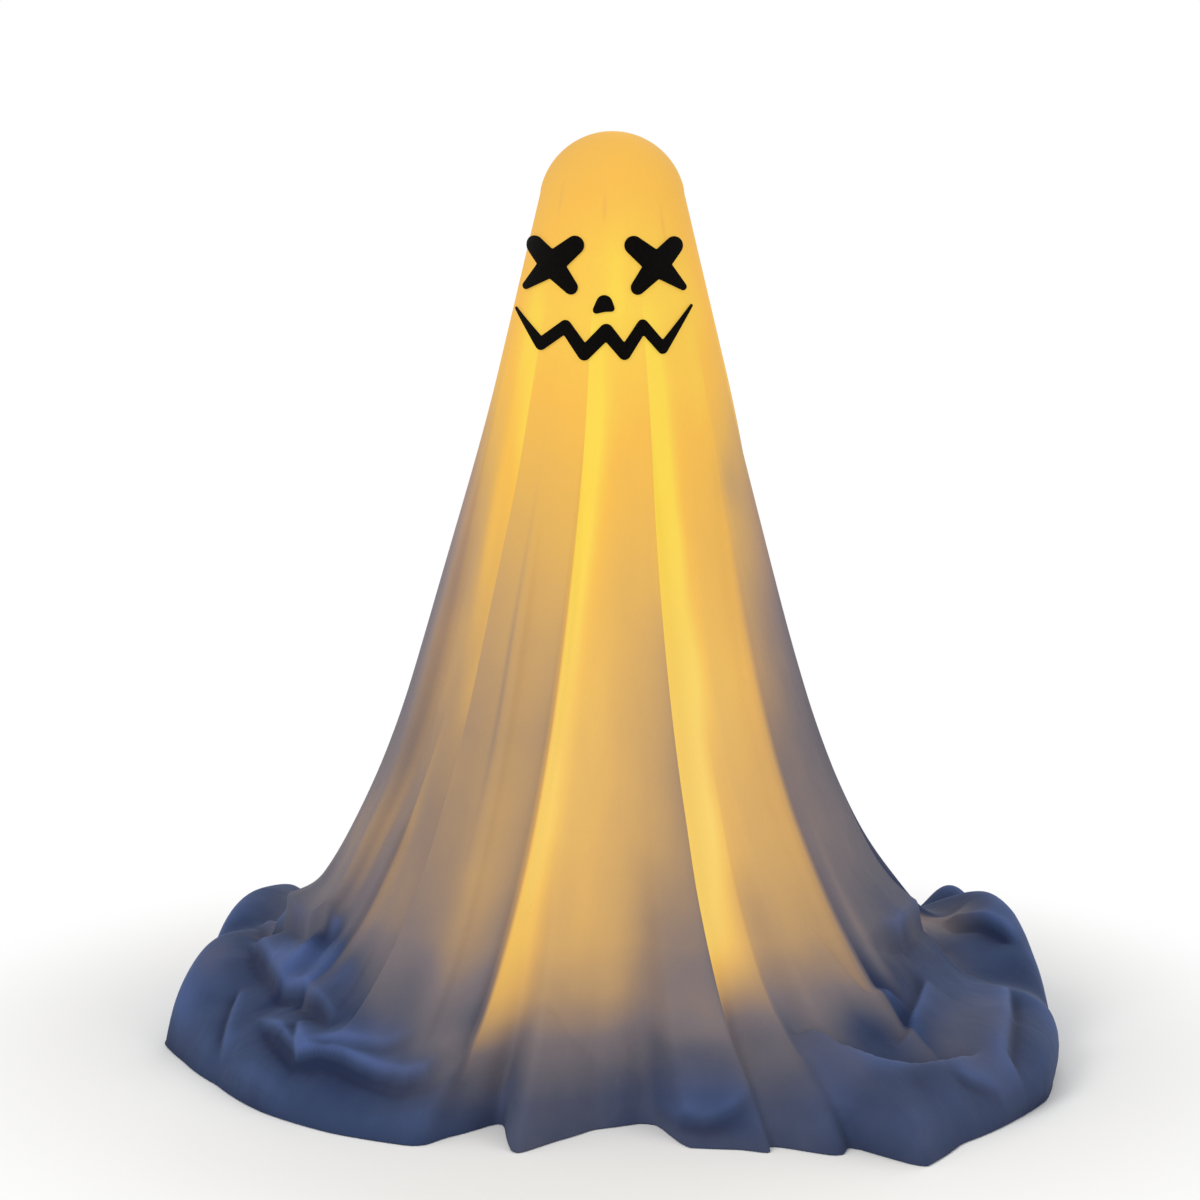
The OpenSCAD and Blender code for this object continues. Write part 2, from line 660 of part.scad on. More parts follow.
module led_bulbs() {
    color("#ffd070") at_lamps() translate([0, 0, holder_l]) {
        cylinder(h = lens_l, r = led_d / 2);
        translate([0, 0, lens_l]) sphere(led_d / 2);
    }
}

module cable_ties() {
    inner = winding_r + wire_r + 0.25;
    color("#f2f2ee") for (i = [1, led_count - 1])
        let(z = wire_height((led_share[i - 1] + led_share[i]) / 2)) translate([0, 0, z - 1.8]) {
            sleeve(inner + 1.2, inner, 3.6);
            translate([inner + 0.2, -2.4, -0.6]) cube([4.4, 4.8, 4.8]);
        }
}

ghost_cloth();
left_eye();
right_eye();
nose();
mouth();
head_dome();
head_hub();
upper_tube();
middle_tube();
lower_tube();
tube_couplers();
base_shell();
ballast_disc();
base_cover();
cover_screws();
non_slip_pad();
pole_clip();
clip_screws();
battery_case();
battery_door();
battery_cells();
contact_springs();
contact_plates();
driver_board();
switch_body();
switch_slider();
wire_grommet();
light_wire();
led_holders();
led_bulbs();
cable_ties();
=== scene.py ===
"""Studio scene of a lighted cloth ghost.

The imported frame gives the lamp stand, and plain solids of the shroud and its face. This script hangs the
sheer cloth over the stand, glues on the felt face, winds the light string and gives every piece its finish.
Sizes are millimetres and angles are degrees, counted from the front towards the viewer's right.
"""

import logging
import math
from dataclasses import dataclass
from enum import Enum

import bmesh
import bpy
import numpy as np
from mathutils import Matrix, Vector, noise


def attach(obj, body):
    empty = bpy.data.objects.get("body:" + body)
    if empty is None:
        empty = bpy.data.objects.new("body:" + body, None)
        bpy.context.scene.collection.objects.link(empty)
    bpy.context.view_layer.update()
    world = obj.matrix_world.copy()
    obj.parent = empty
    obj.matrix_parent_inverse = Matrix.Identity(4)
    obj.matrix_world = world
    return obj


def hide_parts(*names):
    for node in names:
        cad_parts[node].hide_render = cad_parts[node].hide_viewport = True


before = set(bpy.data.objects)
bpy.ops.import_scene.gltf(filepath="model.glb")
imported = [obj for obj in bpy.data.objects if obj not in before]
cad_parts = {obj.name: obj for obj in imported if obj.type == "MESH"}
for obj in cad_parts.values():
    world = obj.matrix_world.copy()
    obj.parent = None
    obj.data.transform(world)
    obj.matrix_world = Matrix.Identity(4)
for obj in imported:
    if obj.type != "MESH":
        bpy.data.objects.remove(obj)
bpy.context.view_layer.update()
MM = 0.001
LOG = logging.getLogger("ghost")

Point = tuple[float, float, float]
Spot = tuple[float, float]
Lump = tuple[float, float, float]
Stops = tuple[tuple[float, str], ...]
Faces = list[tuple[int, ...]]


class Body(Enum):
    """Names of the moving bodies of the frame."""
    STAND = "stand"
    SHROUD = "shroud"


class ClothValue(Enum):
    """Names of the point values that the voile's material reads."""
    # GLOW carries the painted glow of the lamp's light through the cloth.
    GLOW = "glow"
    # HOLLOW carries the painted shade in hollows and painted highlights on ridges of the cloth.
    HOLLOW = "hollow"
    CUT_X = "cut_x"
    CUT_Y = "cut_y"


def linear(code: str) -> tuple[float, float, float, float]:
    """Turn an sRGB hex colour into linear light.

    Args:
        code: Six hex digits after a hash sign.

    Returns:
        Red, green, blue and an alpha of one.
    """
    parts = [int(code[i:i + 2], 16) / 255 for i in (1, 3, 5)]
    red, green, blue = [p / 12.92 if p <= 0.04045 else ((p + 0.055) / 1.055) ** 2.4 for p in parts]
    return (red, green, blue, 1.0)


def add_node(tree: bpy.types.NodeTree, kind: str, inputs: dict | None = None, links: dict | None = None,
             **settings: object) -> bpy.types.Node:
    """Add one shader node.

    Args:
        tree: The material's node tree.
        kind: The node's type, without its ShaderNode prefix.
        inputs: Values for its input sockets, by name or number.
        links: Output sockets to join to its input sockets, by name or number.
        settings: Attributes of the node itself.

    Returns:
        The new node.
    """
    made = tree.nodes.new("ShaderNode" + kind)
    for name, value in settings.items():
        setattr(made, name, value)
    for name, value in (inputs or {}).items():
        made.inputs[name].default_value = value
    for name, socket in (links or {}).items():
        tree.links.new(socket, made.inputs[name])
    return made


def colour_ramp(tree: bpy.types.NodeTree, factor: bpy.types.NodeSocket,
                stops: Stops) -> bpy.types.NodeSocket:
    """Add a colour ramp.

    Args:
        tree: The material's node tree.
        factor: The socket that drives the ramp.
        stops: Positions and sRGB hex colours, in rising order.

    Returns:
        The ramp's colour socket.
    """
    ramp = add_node(tree, "ValToRGB", links={"Fac": factor})
    elements = ramp.color_ramp.elements
    while len(elements) < len(stops):
        elements.new(0.5)
    for element, (place, code) in zip(elements, stops):
        element.position = place
        element.color = linear(code)
    return ramp.outputs["Color"]


def darker(code: str, share: float) -> str:
    """Give a hex colour with each part scaled down to a share."""
    return "#" + "".join(f"{round(int(code[i:i + 2], 16) * share):02x}" for i in (1, 3, 5))


def new_material(name: str) -> tuple[bpy.types.Material, bpy.types.NodeTree]:
    """Make an empty node material.

    Args:
        name: The material's name.

    Returns:
        The material and its node tree.
    """
    material = bpy.data.materials.new(name)
    material.use_nodes = True
    material.node_tree.nodes.clear()
    return material, material.node_tree


def close_material(tree: bpy.types.NodeTree, shader: bpy.types.Node) -> None:
    """Join a shader node to the material's output."""
    add_node(tree, "OutputMaterial", links={"Surface": shader.outputs[0]})


def new_piece(name: str, points: np.ndarray, faces: Faces) -> bpy.types.Object:
    """Make a smooth mesh object from points in millimetres.

    Args:
        name: The piece's name.
        points: One row of x, y, z for each vertex.
        faces: Vertex numbers of each face.

    Returns:
        The new object, linked into the scene.
    """
    mesh = bpy.data.meshes.new(name)
    mesh.from_pydata((np.asarray(points) * MM).tolist(), [], faces)
    mesh.polygons.foreach_set("use_smooth", [True] * len(mesh.polygons))
    mesh.update()
    piece = bpy.data.objects.new(name, mesh)
    bpy.context.scene.collection.objects.link(piece)
    return piece


def dress(piece: bpy.types.Object, material: bpy.types.Material) -> None:
    """Give a piece one material."""
    piece.data.materials.clear()
    piece.data.materials.append(material)


def smooth_ramp(x: np.ndarray) -> np.ndarray:
    """Rise smoothly from 0 to 1 as x goes from 0 to 1."""
    c = np.clip(x, 0.0, 1.0)
    return c * c * (3 - 2 * c)


def wrap(angle: np.ndarray) -> np.ndarray:
    """Bring angles to within half a turn either way."""
    return angle - 360 * np.round(angle / 360)


def bell(angle: np.ndarray, middle: float, half: float) -> np.ndarray:
    """Give a smooth bump round the ghost at one angle."""
    return np.exp(-(wrap(angle - middle) / half) ** 2)


@dataclass(frozen=True)
class Voile:
    """Sheer polyester voile, plain woven and heat set.

    Thin threads let the lamp's light through, so single layers near the lamp shine and doubled cloth is
    duller.
    This light is painted in: the cloth gives off its own colour as a glow, by the glow value of each point.
    Cloth that lies on the floor is out of the lamp's reach; its dusky blue is painted in for the cool light
    that falls on it.

    Attributes:
        name: Name of the material.
        upper: Colours by glow, near the crown.
        lower: Colours by glow, near the floor.
        upper_to: Distance from the crown, along the cloth, where the upper colours begin to give way.
        lower_from: Distance where the lower colours have taken over.
        painted_fold_shadow: Colour of the painted shade deep in an unlit fold.
        painted_ridge_highlight: Colour of the painted highlight on an unlit ridge.
        thread: Distance between threads as drawn.
        crinkle: Size of the crinkles.
        cloud: Size of the uneven patches.
        cloud_glow: How far these change the glow.
        cloud_shade: How far they change unlit cloth.
        fold_shade: How far the painted highlights on ridges and painted shade in hollows change unlit cloth.
        cool_to: Glow up to which the cloth looks unlit.
        warm_from: Glow from which it looks lit.
        dim_glow: Glow up to which the cloth gives off the least light.
        full_glow: Glow from which it gives off the most.
        least_lit: Share of its colour that dim cloth gives off.
        lit_share: Share of its colour that cloth in full glow gives off.
        plain_share: Share of its colour that cloth in full glow scatters.
    """
    name: str = "woven_polyester_voile"
    upper: Stops = (
        (0.0, "#334365"), (0.08, "#484c60"), (0.18, "#5f5f6e"), (0.30, "#80767c"), (0.42, "#a98c79"),
        (0.55, "#caa26c"), (0.70, "#e7b55d"), (0.85, "#fac052"), (1.0, "#fedb52"))
    lower: Stops = (
        (0.0, "#334365"), (0.08, "#484c60"), (0.18, "#5f5d68"), (0.30, "#7c7173"), (0.42, "#a0866f"),
        (0.55, "#c39d6c"), (0.70, "#e2b369"), (0.85, "#f6c768"), (1.0, "#fdd772"))
    upper_to: float = 300.0
    lower_from: float = 560.0
    painted_fold_shadow: str = "#212c4a"
    painted_ridge_highlight: str = "#4c5f90"
    thread: float = 2.2
    crinkle: float = 24.0
    cloud: float = 70.0
    cloud_glow: float = 0.08
    cloud_shade: float = 0.5
    fold_shade: float = 0.34
    cool_to: float = 0.02
    warm_from: float = 0.2
    dim_glow: float = 0.06
    full_glow: float = 0.62
    least_lit: float = 0.16
    lit_share: float = 0.64
    plain_share: float = 0.34

    def warm_colour(self, tree: bpy.types.NodeTree, level: bpy.types.NodeSocket,
                    place: bpy.types.NodeSocket) -> bpy.types.NodeSocket:
        """Colour the cloth that the lamp shines through.

        Args:
            tree: The material's node tree.
            level: The glow.
            place: The place on the flat cloth, from the crown.

        Returns:
            The colour's socket.
        """
        fall = add_node(tree, "VectorMath", links={0: place}, operation="LENGTH")
        lower = add_node(tree, "MapRange", {"From Min": self.upper_to, "From Max": self.lower_from},
                         {"Value": fall.outputs["Value"]}, interpolation_type="SMOOTHSTEP")
        ramps = [colour_ramp(tree, level, stops) for stops in (self.upper, self.lower)]
        return add_node(tree, "Mix", links={0: lower.outputs[0], 6: ramps[0], 7: ramps[1]},
                        data_type="RGBA").outputs[2]

    def cool_colour(self, tree: bpy.types.NodeTree, stir: bpy.types.NodeSocket,
                    hollow: bpy.types.NodeSocket) -> bpy.types.NodeSocket:
        """Colour the cloth that is out of the lamp's reach, with painted shade in its hollows and painted
        highlights on its ridges.

        Args:
            tree: The material's node tree.
            stir: A soft uneven value, round 0.
            hollow: Ridges with painted highlights above 0, and hollows with painted shade below.

        Returns:
            The colour's socket.
        """
        crease = add_node(tree, "Math", {1: self.fold_shade, 2: 0.5}, {0: hollow}, operation="MULTIPLY_ADD")
        mottled = add_node(tree, "Math", {1: self.cloud_shade}, {0: stir, 2: crease.outputs[0]},
                           operation="MULTIPLY_ADD")
        stops = ((0.12, self.painted_fold_shadow), (0.5, self.lower[0][1]), (0.9, self.painted_ridge_highlight))
        return colour_ramp(tree, mottled.outputs[0], stops)

    def share(self, tree: bpy.types.NodeTree, level: bpy.types.NodeSocket, dim: float,
              full: float) -> bpy.types.NodeSocket:
        """Give a share that goes smoothly from dim cloth to cloth in full glow."""
        span = {"From Min": self.dim_glow, "From Max": self.full_glow, "To Min": dim, "To Max": full}
        return add_node(tree, "MapRange", span, {"Value": level}, interpolation_type="SMOOTHSTEP").outputs[0]

    def relief(self, tree: bpy.types.NodeTree, place: bpy.types.NodeSocket) -> bpy.types.NodeSocket:
        """Raise the weave and the soft crinkles.

        Args:
            tree: The material's node tree.
            place: The place on the flat cloth, from the crown.

        Returns:
            The normal's socket.
        """
        # The real threads are 0.2 mm apart; the weave is drawn about ten times as coarse, so that it shows.
        # A wave texture of scale 1 has one band in every pi / 10 units.
        scale = math.pi / 10 / self.thread
        threads = [add_node(tree, "TexWave", {"Scale": scale, "Distortion": 0.4}, {"Vector": place},
                            bands_direction=way).outputs["Fac"] for way in ("X", "Y")]
        weave = add_node(tree, "Math", links={0: threads[0], 1: threads[1]}, operation="MULTIPLY")
        crinkle = add_node(tree, "TexNoise", {"Scale": 1 / self.crinkle, "Detail": 4.0, "Distortion": 0.6},
                           {"Vector": place})
        fine = add_node(tree, "Bump", {"Strength": 0.1, "Distance": 0.4 * MM}, {"Height": weave.outputs[0]})
        return add_node(tree, "Bump", {"Strength": 0.3, "Distance": 4 * MM},
                        {"Height": crinkle.outputs["Fac"], "Normal": fine.outputs[0]}).outputs[0]

    def build(self) -> bpy.types.Material:
        """Make the material."""
        material, tree = new_material(self.name)
        glow, hollow, cut_x, cut_y = (
            add_node(tree, "Attribute", attribute_name=value.value).outputs["Fac"] for value in ClothValue)
        place = add_node(tree, "CombineXYZ", links={"X": cut_x, "Y": cut_y}).outputs[0]
        cloud = add_node(tree, "TexNoise", {"Scale": 1 / self.cloud, "Detail": 3.0}, {"Vector": place})
        stir = add_node(tree, "Math", {1: 0.5}, {0: cloud.outputs["Fac"]}, operation="SUBTRACT").outputs[0]
        level = add_node(tree, "Math", {1: self.cloud_glow}, {0: stir, 2: glow},
                         operation="MULTIPLY_ADD").outputs[0]
        reach = add_node(tree, "MapRange", {"From Min": self.cool_to, "From Max": self.warm_from},
                         {"Value": level}, interpolation_type="SMOOTHSTEP")
        colour = add_node(tree, "Mix", links={0: reach.outputs[0], 6: self.cool_colour(tree, stir, hollow),
                                              7: self.warm_colour(tree, level, place)},
                          data_type="RGBA").outputs[2]
        # The lamp's light through the cloth is painted in: cloth with more glow gives off more of its colour
        # and scatters less.
        plain = self.share(tree, level, 1 - self.least_lit, self.plain_share)
        cloth = add_node(tree, "VectorMath", links={0: colour, "Scale": plain}, operation="SCALE")
        shader = add_node(tree, "BsdfPrincipled",
                          {"Roughness": 0.85, "IOR": 1.5, "Specular IOR Level": 0.15, "Sheen Weight": 0.04,
                           "Sheen Roughness": 0.5},
                          {"Base Color": cloth.outputs[0], "Emission Color": colour,
                           "Emission Strength": self.share(tree, level, self.least_lit, self.lit_share),
                           "Normal": self.relief(tree, place)})
        close_material(tree, shader)
        return material


@dataclass(frozen=True)
class Felt:
    """Pressed craft felt, die cut: matted fibres scatter the light, with hardly any gloss."""
    name: str = "pressed_black_felt"
    colour: str = "#040303"
    fibre_colour: str = "#12100d"
    fibre: float = 1.1

    def build(self) -> bpy.types.Material:
        """Make the material."""
        material, tree = new_material(self.name)
        place = add_node(tree, "TexCoord").outputs["Object"]
        # Single fibres are too fine to show, so the pattern has the size of their tufts.
        mat = add_node(tree, "TexNoise", {"Scale": 1 / (self.fibre * MM), "Detail": 6.0, "Distortion": 1.6},
                       {"Vector": place})
        colour = colour_ramp(tree, mat.outputs["Fac"], ((0.4, self.colour), (0.75, self.fibre_colour)))
        bump = add_node(tree, "Bump", {"Strength": 0.5, "Distance": 0.6 * MM},
                        {"Height": mat.outputs["Fac"]})
        shader = add_node(tree, "BsdfPrincipled",
                          {"Roughness": 0.95, "Specular IOR Level": 0.05, "Sheen Weight": 0.01,
                           "Sheen Roughness": 0.6},
                          {"Base Color": colour, "Normal": bump.outputs[0]})
        close_material(tree, shader)
        return material


@dataclass(frozen=True)
class Moulded:
    """Moulded plastic or rubber, or a baked powder coat: an even fine grain, with slight smears."""
    name: str
    colour: str
    roughness: float = 0.5
    ior: float = 1.53
    grain: float = 0.8
    grain_depth: float = 0.2
    glow: float = 0.0
    smear: float = 38.0
    smear_shade: float = 0.93
    smear_gloss: Spot = (-0.06, 0.08)

    def build(self) -> bpy.types.Material:
        """Make the material."""
        material, tree = new_material(self.name)
        place = add_node(tree, "TexCoord").outputs["Object"]
        # Real mould grain is about 0.1 mm wide; it is drawn several times as coarse, so that it shows.
        pits = add_node(tree, "TexNoise", {"Scale": 1 / (self.grain * MM), "Detail": 3.0}, {"Vector": place})
        smear = add_node(tree, "TexNoise", {"Scale": 1 / (self.smear * MM), "Detail": 3.0},
                         {"Vector": place}).outputs["Fac"]
        dull = darker(self.colour, self.smear_shade)
        tint = colour_ramp(tree, smear, ((0.3, dull), (0.7, self.colour)))
        least, most = (self.roughness + change for change in self.smear_gloss)
        rough = add_node(tree, "MapRange", {"To Min": least, "To Max": most}, {"Value": smear})
        bump = add_node(tree, "Bump", {"Strength": self.grain_depth, "Distance": 0.2 * MM},
                        {"Height": pits.outputs["Fac"]})
        shader = add_node(tree, "BsdfPrincipled",
                          {"IOR": self.ior, "Emission Strength": self.glow,
                           "Emission Color": linear(self.colour)},
                          {"Base Color": tint, "Roughness": rough.outputs[0], "Normal": bump.outputs[0]})
        close_material(tree, shader)
        return material


@dataclass(frozen=True)
class Metal:
    """Rolled or plated metal: fine lines along the rolling direction that stretch its reflections."""
    name: str
    colour: str
    roughness: float = 0.35
    line: float = 0.5
    stretch: float = 20.0
    line_shade: float = 0.9
    line_gloss: Spot = (-0.1, 0.12)

    def build(self) -> bpy.types.Material:
        """Make the material."""
        material, tree = new_material(self.name)
        place = add_node(tree, "TexCoord").outputs["Object"]
        # Real rolling lines are about 0.1 mm apart; they are drawn coarser, so that they show.
        drawn = add_node(tree, "Mapping", {"Scale": (1.0, 1 / self.stretch, 1 / self.stretch)},
                         {"Vector": place})
        lines = add_node(tree, "TexNoise", {"Scale": 1 / (self.line * MM), "Detail": 2.0},
                         {"Vector": drawn.outputs[0]}).outputs["Fac"]
        dull = darker(self.colour, self.line_shade)
        tint = colour_ramp(tree, lines, ((0.3, dull), (0.7, self.colour)))
        least, most = (self.roughness + change for change in self.line_gloss)
        rough = add_node(tree, "MapRange", {"To Min": least, "To Max": most}, {"Value": lines})
        bump = add_node(tree, "Bump", {"Strength": 0.08, "Distance": 0.1 * MM}, {"Height": lines})
        shader = add_node(tree, "BsdfPrincipled", {"Metallic": 1.0},
                          {"Base Color": tint, "Roughness": rough.outputs[0], "Normal": bump.outputs[0]})
        close_material(tree, shader)
        return material


@dataclass(frozen=True)
class CellJacket:
    """Shrunk plastic sleeve of a dry cell: glossy, in two colours that meet in a straight line."""
    name: str = "shrunk_cell_sleeve"
    body_colour: str = "#24262b"
    top_colour: str = "#b98b3c"
    meet_z: float = 112.0
    scuff: float = 6.0
    scuff_gloss: Spot = (0.2, 0.36)

    def build(self) -> bpy.types.Material:
        """Make the material."""
        material, tree = new_material(self.name)
        place = add_node(tree, "TexCoord").outputs["Object"]
        height = add_node(tree, "SeparateXYZ", links={0: place}).outputs["Z"]
        above = add_node(tree, "Math", {1: self.meet_z * MM}, {0: height}, operation="GREATER_THAN")
        colour = colour_ramp(tree, above.outputs[0], ((0.0, self.body_colour), (1.0, self.top_colour)))
        scuff = add_node(tree, "TexNoise", {"Scale": 1 / (self.scuff * MM), "Detail": 4.0},
                         {"Vector": place}).outputs["Fac"]
        least, most = self.scuff_gloss
        rough = add_node(tree, "MapRange", {"To Min": least, "To Max": most}, {"Value": scuff})
        shader = add_node(tree, "BsdfPrincipled", {"IOR": 1.54},
                          {"Base Color": colour, "Roughness": rough.outputs[0]})
        close_material(tree, shader)
        return material


@dataclass(frozen=True)
class CircuitBoard:
    """Glass-epoxy board under green solder mask: copper tracks show as paler lines."""
    name: str = "solder_masked_board"
    colour: str = "#1c5533"
    track_colour: str = "#2f7a48"
    track: float = 2.4

    def build(self) -> bpy.types.Material:
        """Make the material."""
        material, tree = new_material(self.name)
        place = add_node(tree, "TexCoord").outputs["Object"]
        # A cell of the pattern is two track spacings wide.
        cells = add_node(tree, "TexVoronoi", {"Scale": 1 / (self.track * 2 * MM)}, {"Vector": place},
                         distance="MANHATTAN", feature="F1")
        colour = colour_ramp(tree, cells.outputs["Distance"],
                             ((0.42, self.colour), (0.5, self.track_colour), (0.58, self.colour)))
        bump = add_node(tree, "Bump", {"Strength": 0.2, "Distance": 0.1 * MM},
                        {"Height": cells.outputs["Distance"]})
        shader = add_node(tree, "BsdfPrincipled", {"Roughness": 0.3, "IOR": 1.5},
                          {"Base Color": colour, "Normal": bump.outputs[0]})
        close_material(tree, shader)
        return material


Finish = Moulded | Metal | CellJacket | CircuitBoard


@dataclass(frozen=True)
class Patch:
    """A soft-edged patch of the cloth where a value changes, placed by angle at the floor and by height."""
    turn: float
    half_turn: float
    z: float
    half_z: float
    change: float
    power: float = 2.0

    def at(self, u: np.ndarray, z: float) -> np.ndarray:
        """Give the change for columns of the cloth at one height."""
        across = np.abs(wrap(u - self.turn) / self.half_turn) ** self.power
        return self.change * np.exp(-across - abs((z - self.z) / self.half_z) ** self.power)


@dataclass(frozen=True)
class Fold:
    """One long fold of the shroud: an edge where one side lies over the other.

    Attributes:
        top: Angle of the edge just under the face.
        foot: Angle of the edge at the floor.
        share: Share of the full fold depth.
        side: 1 where the left side lies on top, -1 where the right side does.
        bright: Extra painted glow of the single layer beside the edge.
        reach: Width of that bright streak.
        dim: Loss of painted glow where the cloth is doubled.
        dim_reach: Width of the doubled cloth.
        begin: Height where the fold starts.
        run: Height over which it grows.
        end: Height where it dies out again.
        unlit: Height where its streak has faded away.
    """
    top: float
    foot: float
    share: float
    side: int
    bright: float = 0.16
    reach: float = 8.0
    dim: float = 0.12
    dim_reach: float = 9.0
    begin: float = 560.0
    run: float = 250.0
    end: float = 25.0
    unlit: float = 25.0


@dataclass(frozen=True)
class Ruck:
    """A lip in the cloth on the floor; on the left of its line the cloth dives under it.

    Attributes:
        line: Its line, seen from above.
        height: Height of the lip.
        gentle: Distance over which the lip falls away on its right.
        sharp: Distance over which the cloth rises again on its left.
        dive: Depth of the cloth under the lip, as a share of its height.
        edge: Width of the step between the two sides.
        pale: Painted highlight on the lip.
        painted_shadow: Painted shadow under it.
        painted_shade_reach: Distance over which both fade.
        fade: Share of the line over which each end dies out.
        end_share: What is left of the lip at the very ends, before smoothing.
    """
    line: tuple[Spot, ...]
    height: float
    gentle: float = 22.0
    sharp: float = 10.0
    dive: float = 0.95
    edge: float = 6.0
    pale: float = 0.5
    painted_shadow: float = 0.9
    painted_shade_reach: float = 20.0
    fade: float = 0.22
    end_share: float = 0.15

    def around(self, x: np.ndarray, y: np.ndarray) -> tuple[np.ndarray, np.ndarray, np.ndarray]:
        """Tell where points lie beside the line.

        Args:
            x: Places to the right.
            y: Places to the back.

        Returns:
            Distance from the line, share of being under the lip, and share left towards the line's ends.
        """
        near = np.full(x.shape, np.inf)
        side = np.zeros(x.shape)
        place = np.zeros(x.shape)
        run = 0.0
        for (x0, y0), (x1, y1) in zip(self.line, self.line[1:]):
            dx, dy = x1 - x0, y1 - y0
            long = math.hypot(dx, dy)
            t = np.clip(((x - x0) * dx + (y - y0) * dy) / long ** 2, 0, 1)
            far = np.hypot(x - x0 - t * dx, y - y0 - t * dy)
            side = np.where(far < near, (dx * (y - y0) - dy * (x - x0)) / long, side)
            place = np.where(far < near, run + t * long, place)
            near = np.minimum(near, far)
            run += long
        ends = smooth_ramp(np.minimum(place, run - place) / (self.fade * run) + self.end_share)
        return near, smooth_ramp(0.5 + side / self.edge), ends

    def rise(self, x: np.ndarray, y: np.ndarray) -> np.ndarray:
        """Height that the lip adds to the cloth."""
        near, under, ends = self.around(x, y)
        lip = np.exp(-near / self.gentle)
        dive = self.dive * np.exp(-near / self.sharp)
        return self.height * ends * (lip * (1 - under) - dive * under)

    def tone(self, x: np.ndarray, y: np.ndarray) -> np.ndarray:
        """Painted highlight on the lip, above 0, and painted shadow on the cloth under it, below 0."""
        near, under, ends = self.around(x, y)
        return ends * np.exp(-near / self.painted_shade_reach) * (self.pale * (1 - under) - self.painted_shadow * under)


